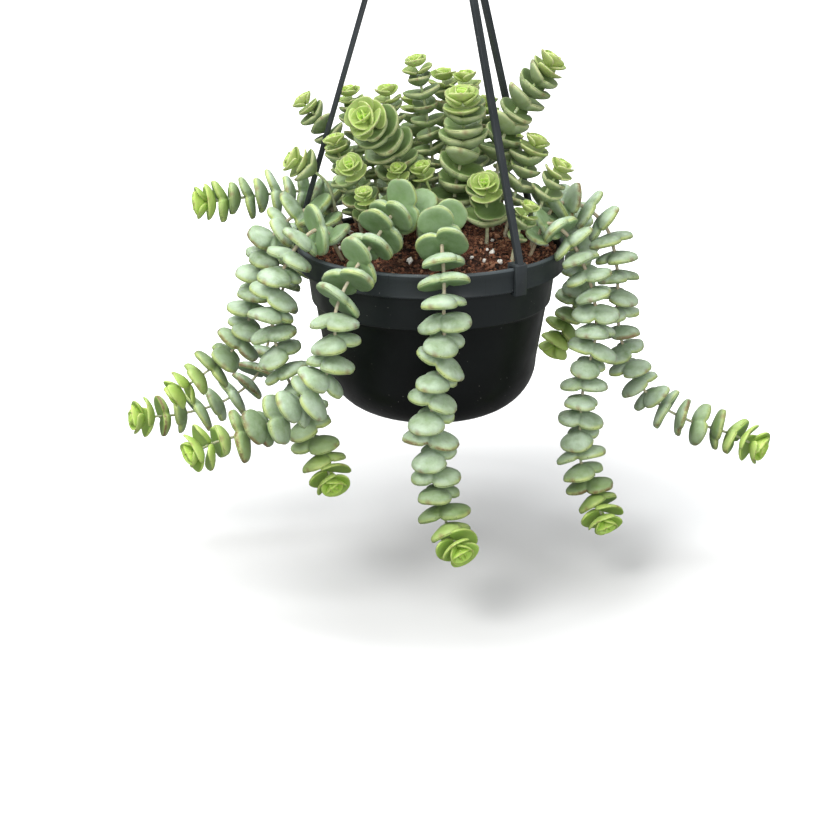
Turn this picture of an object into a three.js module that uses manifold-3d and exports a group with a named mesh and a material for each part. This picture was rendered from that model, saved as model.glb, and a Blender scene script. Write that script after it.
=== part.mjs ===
// Potted string-of-buttons crassula in a plastic hanging pot: pot, soil, clip-on hanger and 35 leafy stems.
// Units are millimetres, +Z is up. The origin is the hook's seat, where the hanger bears on what holds it.
// The pot, soil and stems are placed from the rim's top plane, HANG_DROP below the seat.

import * as THREE from 'three';
import { mergeVertices } from 'three/addons/utils/BufferGeometryUtils.js';
import Module from 'manifold-3d';

const wasm = await Module();
wasm.setup();

// ---------- driving dimensions ----------

const HANG_DROP = 253;      // hook seat down to the rim's top plane
const FIT_GAP = 0.35;       // clearance between pieces that rest on each other

const RIM_RADIUS = 70;      // a 14 cm pot
const RIM_DEPTH = 12;       // height of the rim band
const RIM_WALL = 2.5;
const COLLAR_BOTTOM = 30;   // the stepped collar ends this far below the rim
const COLLAR_TOP_RADIUS = 64.6;
const COLLAR_LOW_RADIUS = 62.6;
const BODY_TOP_RADIUS = 60.8;
const BODY_LOW_RADIUS = 56;
const BODY_LOW_DEPTH = 62;  // where the wall turns into the round base corner
const POT_HEIGHT = 89;
const POT_WALL = 2;
const DRAIN_COUNT = 6;
const DRAIN_RADIUS = 3;
const DRAIN_CIRCLE = 20;
const ROUND_STEPS = 26;     // segments round the pot and the soil
const CORNER_STEPS = 3;

const SOIL_EDGE_DEPTH = 6;  // soil level at the wall, below the rim
const SOIL_MOUND = 13;      // how far the middle stands above that
const SOIL_LUMP = 0.8;
const GRAIN_RADIUS = 1.7;
const GRAIN_COUNT = 8;

const WIRE_RADIUS = 2.2;    // hook
const HOOK_INNER_RADIUS = 9;
const HUB_TOP = 31;         // below the seat
const HUB_BOTTOM = 45;
const HUB_RADIUS = 7.5;
const ARM_JOIN = 40;        // arm axis meets the hub this far below the seat
const ARM_JOIN_RADIUS = 4.5;
const ARM_WIDTH = 3.6;
const ARM_THICKNESS = 2.6;
const ARM_AZIMUTHS = [38, 128, 265];   // degrees, from the front (-Y) towards the right (+X)
const CLIP_WIDTH = 7;
const CLIP_WALL = 1.7;

const STEM_RADIUS = 1.1;
const TIP_LENGTH = 2.2;     // from the youngest pair to the stem's point
const BARE_STEP = 8;        // from ring to ring on the naked stem
const TIP_CUP = 0.3;        // how much more the youngest pair folds
const CUPPED_PAIRS = 3;     // how many pairs share in that, less and less
const TURN_VARY = 0.16;     // how far a pair may be turned from its quarter, in radians
const ROOT_DEPTH = 14;      // how deep a stem stands in the soil, below the rim plane
const ROOT_HOLE_RADIUS = 1.9;
const ROOT_HOLE_SIDES = 5;
const ROUTE_STEPS = 16;     // samples in each span of a stem's route
const KEEP_CLEAR = 1.1;     // leaves stay this far from the pot and the soil

// leaf pair of a size 1 stem: end to end, across, thick, and the step from pair to pair
const LEAF_LENGTH = 26;
const LEAF_WIDTH = 19;
const LEAF_THICKNESS = 7.6;
const LEAF_PITCH = 10.2;
const SHOOT_PITCH = 7.4;    // upright shoots keep one step whatever their size

// ---------- stems ----------
// root: where the stem stands in the soil, x and y. route: the points it passes, x right, y back,
// z above the rim plane. size scales the leaves and pitch the step. cup is how much a pair folds towards the
// tip, bare the naked length above the root, turn the first pair's heading in degrees, and waist: false marks
// a stem whose pairs have no waist.

const TRAILING = [
  { name: 'trail_front', root: [9, -34], size: 1.0, pitch: 0.97, cup: 0.12, bare: 18, turn: 28,
    route: [[8, -40, 17], [5, -54, 22], [5, -70, 16], [6, -83, 2], [6, -88, -14], [6, -88, -33],
      [2, -87, -51], [0, -86, -70], [2, -86, -91], [5, -87, -110], [9, -91, -123], [14, -102, -129]] },
  { name: 'trail_front_left', root: [-6, -26], size: 1.02, pitch: 1.02, cup: 0.14, bare: 24, turn: 65,
    route: [[-9, -33, 24], [-17, -46, 26], [-27, -62, 15], [-38, -76, 1], [-45, -84, -14],
      [-46, -84, -34], [-54, -82, -52], [-67, -79, -65], [-87, -76, -77], [-105, -76, -83], [-115, -81, -86]] },
  { name: 'trail_left', root: [-44, -36], size: 0.98, pitch: 1.02, cup: 0.12, bare: 18, turn: 45,
    route: [[-53, -40, 15], [-64, -44, 10], [-74, -46, -6], [-79, -47, -24], [-78, -47, -40],
      [-72, -48, -60], [-65, -50, -72], [-59, -52, -93], [-54, -53, -104], [-50, -61, -111]] },
  { name: 'trail_low_left', root: [-40, 42], size: 0.95, pitch: 1.05, cup: 0.12, bare: 22, turn: 60,
    route: [[-50, 48, 14], [-60, 54, 8], [-70, 54, -10], [-80, 46, -32], [-88, 34, -58],
      [-96, 24, -82], [-114, 16, -95], [-138, 11, -101], [-159, 3, -100]] },
  { name: 'trail_outer_left', root: [-52, -10], size: 0.98, pitch: 0.98, cup: 0.12, bare: 13, turn: 55,
    route: [[-60, -12, 18], [-72, -13, 14], [-84, -13, 0], [-90, -12, -18], [-94, -12, -36],
      [-99, -13, -50], [-112, -14, -63], [-133, -21, -77]] },
  { name: 'trail_level_left', root: [-46, 24], size: 0.9, pitch: 0.8, cup: 0.16, bare: 13, turn: 10,
    route: [[-58, 25, 17], [-72, 26, 20], [-90, 25, 18], [-108, 23, 16], [-121, 20, 15]] },
  { name: 'trail_right', root: [50, -25], size: 0.95, pitch: 0.98, cup: 0.12, bare: 18, turn: 75,
    route: [[57, -28, 15], [67, -31, 11], [76, -34, -4], [82, -37, -22], [83, -38, -42],
      [78, -39, -66], [77, -40, -94], [79, -40, -112], [85, -41, -125], [90, -53, -136]] },
  { name: 'trail_outer_right', root: [54, 0], size: 0.95, pitch: 1.04, cup: 0.12, bare: 20, turn: 25,
    route: [[64, 0, 18], [78, 0, 18], [91, -1, 6], [97, -2, -15], [98, -2, -36],
      [101, -3, -54], [109, -4, -74], [122, -6, -88], [139, -8, -97], [160, -11, -103], [173, -19, -107]] },
  { name: 'trail_back_right', root: [50, 20], size: 0.9, pitch: 1.0, waist: false, cup: 0.12, bare: 12, turn: 30,
    route: [[60, 22, 16], [72, 26, 10], [80, 32, -8], [82, 38, -30], [78, 42, -52], [70, 44, -72]] },
  { name: 'trail_back', root: [12, 50], size: 0.95, pitch: 1.1, waist: false, cup: 0.12, bare: 18, turn: 0,
    route: [[14, 60, 16], [16, 72, 12], [18, 84, -4], [18, 90, -26], [16, 90, -48], [12, 88, -66]] },
  { name: 'trail_back_left', root: [-14, 52], size: 0.95, pitch: 1.1, waist: false, cup: 0.12, bare: 18, turn: 45,
    route: [[-17, 62, 15], [-22, 74, 10], [-27, 84, -8], [-29, 88, -30], [-28, 88, -54]] },
];

const SHOOTS = [
  { name: 'shoot_a', root: [-37, 18], size: 0.66, cup: 0.45, bare: 30, turn: 10,
    route: [[-42, 19, 30], [-52, 18, 50], [-66, 17, 69]] },
  { name: 'shoot_b', root: [-33, 33], size: 0.62, cup: 0.5, bare: 40, turn: 70, route: [[-37, 32, 36], [-43, 30, 72]] },
  { name: 'shoot_c', root: [-12, 2], size: 0.95, cup: 0.45, bare: 26, turn: 20,
    route: [[-13, -1, 24], [-18, -9, 46], [-25, -19, 60], [-32, -31, 68]] },
  { name: 'shoot_d', root: [-18, 22], size: 0.66, cup: 0.55, bare: 42, turn: 50, route: [[-19, 21, 38], [-23, 18, 74]] },
  { name: 'shoot_e', root: [-36, -2], size: 0.6, cup: 0.45, bare: 24, turn: 0, route: [[-41, -4, 26], [-49, -6, 53]] },
  { name: 'shoot_f', root: [-29, -16], size: 0.68, cup: 0.45, bare: 16, turn: 30, route: [[-34, -19, 22], [-38, -24, 37], [-40, -31, 45]] },
  { name: 'shoot_g', root: [-14, -18], size: 0.5, cup: 0.5, bare: 24, turn: 60, route: [[-15, -20, 26], [-17, -27, 43]] },
  { name: 'shoot_h', root: [-28, -30], size: 0.5, cup: 0.5, bare: 18, turn: 15, route: [[-31, -33, 18], [-33, -40, 34]] },
  { name: 'shoot_i', root: [-47, -2], size: 0.75, cup: 0.45, bare: 36, turn: 45, route: [[-53, -4, 30], [-70, -7, 43]] },
  { name: 'shoot_j', root: [2, -16], size: 0.58, cup: 0.4, bare: 27, turn: 80, route: [[1, -18, 24], [-5, -22, 42]] },
  { name: 'shoot_k', root: [0, 16], size: 0.66, cup: 0.4, bare: 32, turn: 0,
    route: [[1, 14, 32], [-2, 12, 60], [-8, 10, 90]] },
  { name: 'shoot_l', root: [8, 34], size: 0.66, cup: 0.45, bare: 42, turn: 30, route: [[8, 33, 40], [6, 32, 80]] },
  { name: 'shoot_m', root: [22, 20], size: 0.7, cup: 0.45, bare: 42, turn: 55, route: [[21, 20, 40], [17, 19, 81]] },
  { name: 'shoot_n', root: [12, -6], size: 0.92, cup: 0.42, bare: 16, turn: 85,
    route: [[12, -9, 28], [16, -13, 52], [15, -19, 76]] },
  { name: 'shoot_o', root: [32, 6], size: 0.82, cup: 0.4, bare: 36, turn: 25,
    route: [[35, 6, 44], [42, 6, 64], [60, 6, 90]] },
  { name: 'shoot_p', root: [36, 22], size: 0.6, cup: 0.5, bare: 28, turn: 65, route: [[39, 21, 30], [43, 20, 50]] },
  { name: 'shoot_q', root: [38, -4], size: 0.75, cup: 0.45, bare: 20, turn: 5, route: [[43, -4, 26], [53, -5, 52]] },
  { name: 'shoot_r', root: [51, -14], size: 0.66, cup: 0.45, bare: 21, turn: 35, route: [[56, -16, 24], [65, -17, 42]] },
  { name: 'shoot_s', root: [28, -22], size: 0.8, cup: 0.5, bare: 12, turn: 10, route: [[28, -25, 16], [27, -30, 29], [26, -37, 37]] },
  { name: 'shoot_t', root: [40, -38], size: 0.55, cup: 0.5, bare: 12, turn: 40, route: [[43, -39, 14], [48, -40, 27]] },
  { name: 'shoot_u', root: [-6, 38], size: 0.68, cup: 0.45, bare: 32, turn: 20, route: [[-7, 39, 32], [-10, 40, 66]] },
  { name: 'shoot_v', root: [26, 42], size: 0.68, cup: 0.45, bare: 30, turn: 75, route: [[27, 43, 32], [29, 46, 64]] },
  { name: 'shoot_w', root: [-28, 46], size: 0.66, cup: 0.45, bare: 20, turn: 50, route: [[-31, 48, 24], [-35, 52, 48]] },
];

// ---------- helpers ----------

const degrees = (angle) => (angle * Math.PI) / 180;

// small seeded generator, so that the leaves vary the same way on every build
function seededRandom(seed) {
  let state = seed >>> 0;
  return () => {
    state = (state + 0x6d2b79f5) >>> 0;
    let mixed = state;
    mixed = Math.imul(mixed ^ (mixed >>> 15), mixed | 1);
    mixed ^= mixed + Math.imul(mixed ^ (mixed >>> 7), mixed | 61);
    return ((mixed ^ (mixed >>> 14)) >>> 0) / 4294967296;
  };
}

function closedGeometry(geometry) {
  const bare = geometry.clone();
  bare.deleteAttribute('normal');
  bare.deleteAttribute('uv');
  return mergeVertices(bare, 1e-4);
}

function toSolid(geometry) {
  const merged = closedGeometry(geometry);
  return new wasm.Manifold(new wasm.Mesh({
    numProp: 3,
    vertProperties: new Float32Array(merged.attributes.position.array),
    triVerts: new Uint32Array(merged.index.array),
  }));
}

function toGeometry(solid) {
  const mesh = solid.getMesh();
  const geometry = new THREE.BufferGeometry();
  geometry.setAttribute('position', new THREE.BufferAttribute(new Float32Array(mesh.vertProperties), 3));
  geometry.setIndex(new THREE.BufferAttribute(new Uint32Array(mesh.triVerts), 1));
  return geometry;
}

// a lathe turned so that its axis is +Z
function lathe(profile, steps) {
  const geometry = new THREE.LatheGeometry(profile.map(([radius, height]) => new THREE.Vector2(radius, height)), steps);
  geometry.rotateX(Math.PI / 2);
  return geometry;
}

// the unit vector at an azimuth counted from the front (-Y) towards the right (+X)
function outward(azimuth) {
  return new THREE.Vector3(Math.sin(degrees(azimuth)), -Math.cos(degrees(azimuth)), 0);
}

// the corners of a regular outline round the origin
function ringOutline(sides, radius) {
  return Array.from({ length: sides }, (_, side) => {
    const angle = (side / sides) * Math.PI * 2;
    return [radius * Math.cos(angle), radius * Math.sin(angle)];
  });
}

// ---------- pot ----------

function cornerArc(flatRadius, cornerRadius, floor) {
  const points = [];
  for (let step = 0; step <= CORNER_STEPS; step += 1) {
    const angle = (step / CORNER_STEPS) * (Math.PI / 2);
    points.push([flatRadius + cornerRadius * Math.sin(angle), floor + cornerRadius * (1 - Math.cos(angle))]);
  }
  return points;
}

const CORNER_RADIUS = POT_HEIGHT - BODY_LOW_DEPTH;
const BASE_RADIUS = BODY_LOW_RADIUS - CORNER_RADIUS;

// the wall's inner face from the floor's centre up to the rim; offset moves it inwards and up, for the soil
function innerProfile(offset) {
  const inset = POT_WALL + offset;
  return [
    [0, -POT_HEIGHT + inset],
    ...cornerArc(BASE_RADIUS, CORNER_RADIUS - inset, -POT_HEIGHT + inset),
    [BODY_TOP_RADIUS - inset, -COLLAR_BOTTOM - 1],
    [COLLAR_LOW_RADIUS - inset, -COLLAR_BOTTOM + 1],
    [COLLAR_TOP_RADIUS - inset, -RIM_DEPTH - 1.5],
    [RIM_RADIUS - RIM_WALL - offset, -RIM_DEPTH + 2.5],
  ];
}

function potGeometry() {
  const outer = [
    [RIM_RADIUS - RIM_WALL, -1],
    [RIM_RADIUS - RIM_WALL + 0.7, 0],
    [RIM_RADIUS - 0.7, 0],
    [RIM_RADIUS, -1],
    [RIM_RADIUS - 0.3, -RIM_DEPTH],
    [COLLAR_TOP_RADIUS, -RIM_DEPTH - 0.3],
    [COLLAR_LOW_RADIUS, -COLLAR_BOTTOM + 0.4],
    [BODY_TOP_RADIUS, -COLLAR_BOTTOM - 0.4],
    ...cornerArc(BASE_RADIUS, CORNER_RADIUS, -POT_HEIGHT).reverse(),
    [0, -POT_HEIGHT],
  ];
  let solid = toSolid(lathe([...innerProfile(0), ...outer].reverse(), ROUND_STEPS));
  for (let hole = 0; hole < DRAIN_COUNT; hole += 1) {
    const angle = (hole / DRAIN_COUNT) * Math.PI * 2;
    const drill = new THREE.CylinderGeometry(DRAIN_RADIUS, DRAIN_RADIUS, POT_WALL * 3, 12);
    drill.rotateX(Math.PI / 2);
    drill.translate(DRAIN_CIRCLE * Math.cos(angle), DRAIN_CIRCLE * Math.sin(angle), -POT_HEIGHT + POT_WALL / 2);
    solid = solid.subtract(toSolid(drill));
  }
  return toGeometry(solid);
}

// ---------- soil ----------

const SOIL_RADIUS = RIM_RADIUS - RIM_WALL - FIT_GAP;

// the height of the soil's top at x, y, above the rim plane
function soilTop(x, y) {
  const share = Math.min(1, Math.hypot(x, y) / SOIL_RADIUS);
  const lump = Math.sin(0.31 * x + 1) * Math.cos(0.27 * y) + 0.5 * Math.sin(0.53 * x - 0.41 * y);
  return -SOIL_EDGE_DEPTH + SOIL_MOUND * (1 - share * share) + SOIL_LUMP * lump * (1 - share ** 4);
}

function soilGeometry(stems) {
  const rings = 4;
  const top = [];
  for (let ring = 0; ring <= rings; ring += 1) {
    top.push([SOIL_RADIUS * (1 - ring / rings), 0]);
  }
  const ground = lathe([...innerProfile(FIT_GAP), ...top], ROUND_STEPS);
  const position = ground.attributes.position;
  for (let index = 0; index < position.count; index += 1) {
    if (position.getZ(index) > -0.01) {
      position.setZ(index, soilTop(position.getX(index), position.getY(index)));
    }
  }
  let solid = toSolid(ground);
  // pale mineral grains half sunk in the surface, spread by the golden angle
  for (let grain = 0; grain < GRAIN_COUNT; grain += 1) {
    const reach = SOIL_RADIUS * 0.9 * Math.sqrt((grain + 0.5) / GRAIN_COUNT);
    const angle = grain * Math.PI * (3 - Math.sqrt(5));
    const x = reach * Math.cos(angle);
    const y = reach * Math.sin(angle);
    if (stems.every((stem) => Math.hypot(stem.root[0] - x, stem.root[1] - y) > GRAIN_RADIUS + ROOT_HOLE_RADIUS)) {
      const ball = new THREE.IcosahedronGeometry(GRAIN_RADIUS, 0);
      ball.translate(x, y, soilTop(x, y) + GRAIN_RADIUS * 0.25);
      solid = solid.add(toSolid(ball));
    }
  }
  for (const stem of stems) {
    const drill = new THREE.CylinderGeometry(ROOT_HOLE_RADIUS, ROOT_HOLE_RADIUS, ROOT_DEPTH * 3, ROOT_HOLE_SIDES);
    drill.rotateX(Math.PI / 2);
    drill.translate(stem.root[0], stem.root[1], -ROOT_DEPTH - FIT_GAP + ROOT_DEPTH * 1.5);
    solid = solid.subtract(toSolid(drill));
  }
  return toGeometry(solid);
}

// ---------- hanger ----------

function hookGeometry() {
  const bend = HOOK_INNER_RADIUS + WIRE_RADIUS;
  const centre = -HOOK_INNER_RADIUS;
  const points = [[0, -HUB_TOP - 2], [0, -HUB_TOP + 2], [-bend * 0.55, -HUB_TOP + 7]];
  for (let angle = 195; angle >= -30; angle -= 25) {
    points.push([bend * Math.cos(degrees(angle)), centre + bend * Math.sin(degrees(angle))]);
  }
  const path = new THREE.CatmullRomCurve3(points.map(([x, z]) => new THREE.Vector3(x, 0, z)));
  const section = new THREE.Shape(ringOutline(6, WIRE_RADIUS).map(([x, y]) => new THREE.Vector2(x, y)));
  return new THREE.ExtrudeGeometry(section, { steps: 18, bevelEnabled: false, extrudePath: path });
}

function armGeometry(azimuth) {
  const out = outward(azimuth);
  const low = out.clone().multiplyScalar(RIM_RADIUS + 0.4).setZ(-HANG_DROP + 1.2);
  const high = out.clone().multiplyScalar(ARM_JOIN_RADIUS).setZ(-ARM_JOIN);
  const along = high.clone().sub(low);
  const half = ARM_WIDTH / 2;
  const deep = ARM_THICKNESS / 2;
  // a flat strip with a shallow groove down its outer face
  const section = new THREE.Shape([[-half, -deep], [half, -deep], [half, deep], [half * 0.5, deep],
    [half * 0.35, deep * 0.4], [-half * 0.35, deep * 0.4], [-half * 0.5, deep], [-half, deep]]
    .map(([x, y]) => new THREE.Vector2(x, y)));
  const arm = new THREE.ExtrudeGeometry(section, { depth: along.length(), bevelEnabled: false });
  const axis = along.normalize();
  const side = new THREE.Vector3(0, 0, 1).cross(out).normalize();
  const face = axis.clone().cross(side).normalize();
  arm.applyMatrix4(new THREE.Matrix4().makeBasis(side, face, axis).setPosition(low));
  return arm;
}

// the clip: over the rim, down the band outside it and hooked under the band's lower edge
function clipGeometry(azimuth) {
  const inside = RIM_RADIUS + FIT_GAP;
  const outside = inside + CLIP_WALL;
  const under = -RIM_DEPTH - FIT_GAP;
  const inner = RIM_RADIUS - RIM_WALL - 0.9;
  const section = new THREE.Shape([
    [outside, under - 1.4], [outside, CLIP_WALL - 0.6], [outside - 1, CLIP_WALL + 0.4],
    [inner - 1.4, CLIP_WALL + 0.4], [inner - 1.4, -3], [inner, -3], [inner, FIT_GAP],
    [inside, FIT_GAP], [inside, under], [RIM_RADIUS - 2.4, under], [RIM_RADIUS - 1.6, under - 1.4],
  ].map(([x, y]) => new THREE.Vector2(x, y)));
  const clip = new THREE.ExtrudeGeometry(section, { depth: CLIP_WIDTH, bevelEnabled: false });
  clip.translate(0, 0, -CLIP_WIDTH / 2);
  const out = outward(azimuth);
  const up = new THREE.Vector3(0, 0, 1);
  const basis = new THREE.Matrix4().makeBasis(out, up, out.clone().cross(up));
  clip.applyMatrix4(basis.setPosition(0, 0, -HANG_DROP));
  return clip;
}

function hangerGeometry() {
  const hub = lathe([[0, -HUB_BOTTOM], [HUB_RADIUS * 0.6, -HUB_BOTTOM], [HUB_RADIUS, -HUB_BOTTOM + 4],
    [HUB_RADIUS, -HUB_TOP - 5], [HUB_RADIUS * 0.55, -HUB_TOP], [0, -HUB_TOP]], 16);
  let solid = toSolid(hub).add(toSolid(hookGeometry()));
  for (const azimuth of ARM_AZIMUTHS) {
    solid = solid.add(toSolid(armGeometry(azimuth)));
    solid = solid.add(toSolid(clipGeometry(azimuth)));
  }
  return toGeometry(solid);
}

// ---------- leafy stems ----------

// keeps a point of a leaf above the soil and the rim, and outside the pot's wall
function pushClear(point) {
  const reach = Math.hypot(point.x, point.y);
  const wall = RIM_RADIUS + KEEP_CLEAR;
  if (reach >= wall || point.z < -POT_HEIGHT) {
    return;
  }
  const floor = Math.max(reach > SOIL_RADIUS - 6 ? 0 : -SOIL_EDGE_DEPTH, soilTop(point.x, point.y)) + KEEP_CLEAR;
  if (point.z >= floor) {
    return;
  }
  if (wall - reach < floor - point.z) {
    point.multiply(new THREE.Vector3(wall / reach, wall / reach, 1));
  } else {
    point.z = floor;
  }
}

// the stem's route as a dense line, with the length reached at each point
function traceRoute(stem) {
  const start = new THREE.Vector3(stem.root[0], stem.root[1], soilTop(...stem.root) + 1);
  const curve = new THREE.CatmullRomCurve3(
    [start, ...stem.route.map((point) => new THREE.Vector3(...point))], false, 'catmullrom', 0.5);
  const points = curve.getPoints(stem.route.length * ROUTE_STEPS);
  const reached = [0];
  for (let index = 1; index < points.length; index += 1) {
    reached.push(reached[index - 1] + points[index].distanceTo(points[index - 1]));
  }
  return { points, reached, length: reached.at(-1) };
}

// the point on the traced route at a length, and the direction there
function along(trace, length) {
  let index = 1;
  while (index < trace.points.length - 1 && trace.reached[index] < length) {
    index += 1;
  }
  const share = (length - trace.reached[index - 1]) / (trace.reached[index] - trace.reached[index - 1]);
  const point = trace.points[index - 1].clone().lerp(trace.points[index], share);
  const direction = trace.points[index].clone().sub(trace.points[index - 1]).normalize();
  return { point, direction };
}

// how big the pair is that stands this many places from the tip: the youngest are small and close
const growth = (fromTip) => Math.min(1, 0.8 + 0.07 * fromTip);
const spread = (fromTip) => Math.min(1, 0.3 + 0.2 * fromTip);

// where the pairs stand, counted from the tip down the stem
function placePairs(stem, length) {
  const pairs = [];
  const step = stem.pitch ? LEAF_PITCH * stem.size * stem.pitch : SHOOT_PITCH;
  let place = length - TIP_LENGTH;
  for (let fromTip = 0; place > stem.bare; fromTip += 1) {
    pairs.unshift({ place, fromTip });
    place -= step * spread(fromTip + 1);
  }
  return pairs;
}

// outlines of a leaf pair, in shares of half its length and half its width: the full-grown pairs of the
// trailing stems have two broad lobes and a waist, the others are two lobes run together
const WAISTED_PAIR = [[1, 0], [0.7, 0.95], [0, 0.62], [-0.7, 0.95], [-1, 0], [-0.7, -0.95], [0, -0.62], [0.7, -0.95]];
const PLAIN_PAIR = [[1, 0], [0.52, 0.95], [-0.52, 0.95], [-1, 0], [-0.52, -0.95], [0.52, -0.95]];

// a pair is two rings and the ring where the stem enters it; heights along the stem are in shares of its
// thickness, and the size of the ring on the side of the root is a share of the other's
const PAIR_FOOT = -0.55;
const PAIR_UNDERSIDE = -0.42;
const PAIR_EDGE = 0.3;
const UNDERSIDE_SIZE = 0.84;

function stemGeometry(stem, pairOutline, seed) {
  const stemOutline = ringOutline(pairOutline.length, 1);
  const random = seededRandom(seed);
  const vary = (amount) => 1 + amount * (random() * 2 - 1);
  const trace = traceRoute(stem);
  const rings = [];
  let side = new THREE.Vector3(Math.cos(degrees(stem.turn)), Math.sin(degrees(stem.turn)), 0);

  // one ring round the stem; lift is along the stem, cup adds more of it further out, and roll is the corner
  // that comes first, so that a pair turned a quarter round the stem joins it without a twist
  const addRing = (centre, direction, across, outline, half, width, lift, cup, roll = 0) => {
    const other = direction.clone().cross(across);
    const ring = outline.map(([x, y]) => {
      const point = centre.clone()
        .addScaledVector(across, x * half)
        .addScaledVector(other, y * width)
        .addScaledVector(direction, lift + cup * Math.hypot(x * half, y * width));
      if (outline === pairOutline) {
        pushClear(point);
      }
      return point;
    });
    rings.push([...ring.slice(roll), ...ring.slice(0, roll)]);
  };

  const up = new THREE.Vector3(0, 0, 1);
  const foot = trace.points[0];
  addRing(foot.clone().setZ(-ROOT_DEPTH), up, side, stemOutline, STEM_RADIUS, STEM_RADIUS, 0, 0);
  addRing(foot, up, side, stemOutline, STEM_RADIUS, STEM_RADIUS, 0, 0);

  // the naked stem up to the first pair
  const pairs = placePairs(stem, trace.length);
  const carry = (direction) => {
    side.addScaledVector(direction, -side.dot(direction)).normalize();
  };
  const firstPlace = pairs[0].place;
  const bareSteps = Math.max(1, Math.round(firstPlace / BARE_STEP));
  for (let step = 1; step < bareSteps; step += 1) {
    const { point, direction } = along(trace, (firstPlace * step) / bareSteps);
    carry(direction);
    addRing(point, direction, side, stemOutline, STEM_RADIUS, STEM_RADIUS, 0, 0);
  }

  pairs.forEach(({ place, fromTip }, index) => {
    const { point, direction } = along(trace, place);
    carry(direction);
    const grown = growth(fromTip) * stem.size;
    const half = (LEAF_LENGTH / 2) * grown * vary(0.08);
    const width = (LEAF_WIDTH / 2) * grown * vary(0.06);
    const thick = LEAF_THICKNESS * grown * vary(0.06);
    const turned = index % 2 === 1;
    const quarter = turned ? Math.PI / 2 : 0;
    const roll = turned ? pairOutline.length - Math.round(pairOutline.length / 4) : 0;
    const across = side.clone().applyAxisAngle(direction, quarter + TURN_VARY * (random() * 2 - 1));
    const cup = stem.cup * vary(0.25) + TIP_CUP * Math.max(0, 1 - fromTip / CUPPED_PAIRS);
    addRing(point, direction, across, stemOutline, STEM_RADIUS, STEM_RADIUS, PAIR_FOOT * thick, 0, roll);
    addRing(point, direction, across, pairOutline, half * UNDERSIDE_SIZE, width * UNDERSIDE_SIZE,
      PAIR_UNDERSIDE * thick, cup, roll);
    addRing(point, direction, across, pairOutline, half, width, PAIR_EDGE * thick, cup, roll);
  });

  return ringSurface(rings, trace.points.at(-1));
}

// a closed skin over the rings, flat at the root and drawn to a point at the tip
function ringSurface(rings, tip) {
  const sides = rings[0].length;
  const vertices = [];
  const faces = [];
  for (const ring of rings) {
    for (const point of ring) {
      vertices.push(point.x, point.y, point.z);
    }
  }
  for (let ring = 0; ring < rings.length - 1; ring += 1) {
    for (let corner = 0; corner < sides; corner += 1) {
      const a = ring * sides + corner;
      const b = ring * sides + ((corner + 1) % sides);
      faces.push(a, b, b + sides, a, b + sides, a + sides);
    }
  }
  for (let corner = 1; corner < sides - 1; corner += 1) {
    faces.push(0, corner + 1, corner);
  }
  const last = (rings.length - 1) * sides;
  vertices.push(tip.x, tip.y, tip.z);
  for (let corner = 0; corner < sides; corner += 1) {
    faces.push(last + corner, last + ((corner + 1) % sides), rings.length * sides);
  }
  const geometry = new THREE.BufferGeometry();
  geometry.setAttribute('position', new THREE.Float32BufferAttribute(vertices, 3));
  geometry.setIndex(faces);
  return geometry;
}

// ---------- assembly ----------

const potPlastic = new THREE.MeshStandardMaterial({ color: 0x17191b, roughness: 0.42, metalness: 0 });
const hangerPlastic = new THREE.MeshStandardMaterial({ color: 0x24282b, roughness: 0.45, metalness: 0 });
const coir = new THREE.MeshStandardMaterial({ color: 0x5a3524, roughness: 0.95, metalness: 0 });
const waxyLeaf = new THREE.MeshStandardMaterial({ color: 0x8fb596, roughness: 0.5, metalness: 0 });
const youngLeaf = new THREE.MeshStandardMaterial({ color: 0x93b35a, roughness: 0.5, metalness: 0 });

function addMesh(group, name, geometry, material) {
  const mesh = new THREE.Mesh(geometry, material);
  mesh.name = name;
  group.add(mesh);
}

const part = new THREE.Group();
addMesh(part, 'hanger', hangerGeometry(), hangerPlastic);

const potted = new THREE.Group();
potted.position.z = -HANG_DROP;
part.add(potted);

const stems = [...TRAILING, ...SHOOTS];
addMesh(potted, 'pot', potGeometry(), potPlastic);
addMesh(potted, 'soil', soilGeometry(stems), coir);
stems.forEach((stem, index) => {
  const waisted = stem.pitch && stem.waist !== false;
  const geometry = stemGeometry(stem, waisted ? WAISTED_PAIR : PLAIN_PAIR, index + 1);
  addMesh(potted, stem.name, geometry, stem.pitch ? waxyLeaf : youngLeaf);
});

export default part;
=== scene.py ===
"""Dresses the potted crassula: pot, soil, clip-on hanger, trailing stems and upright shoots.

Laid out as an add-on: the sizes and colours are properties, each group of pieces has its own operator, and a
panel in the 3D view's sidebar lists them. Places and sizes in the script are millimetres, turned into the
scene's metres where a mesh is made.
"""

import math
import random
from collections import namedtuple

import bmesh
import bpy
from mathutils import Matrix, Vector, noise


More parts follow.
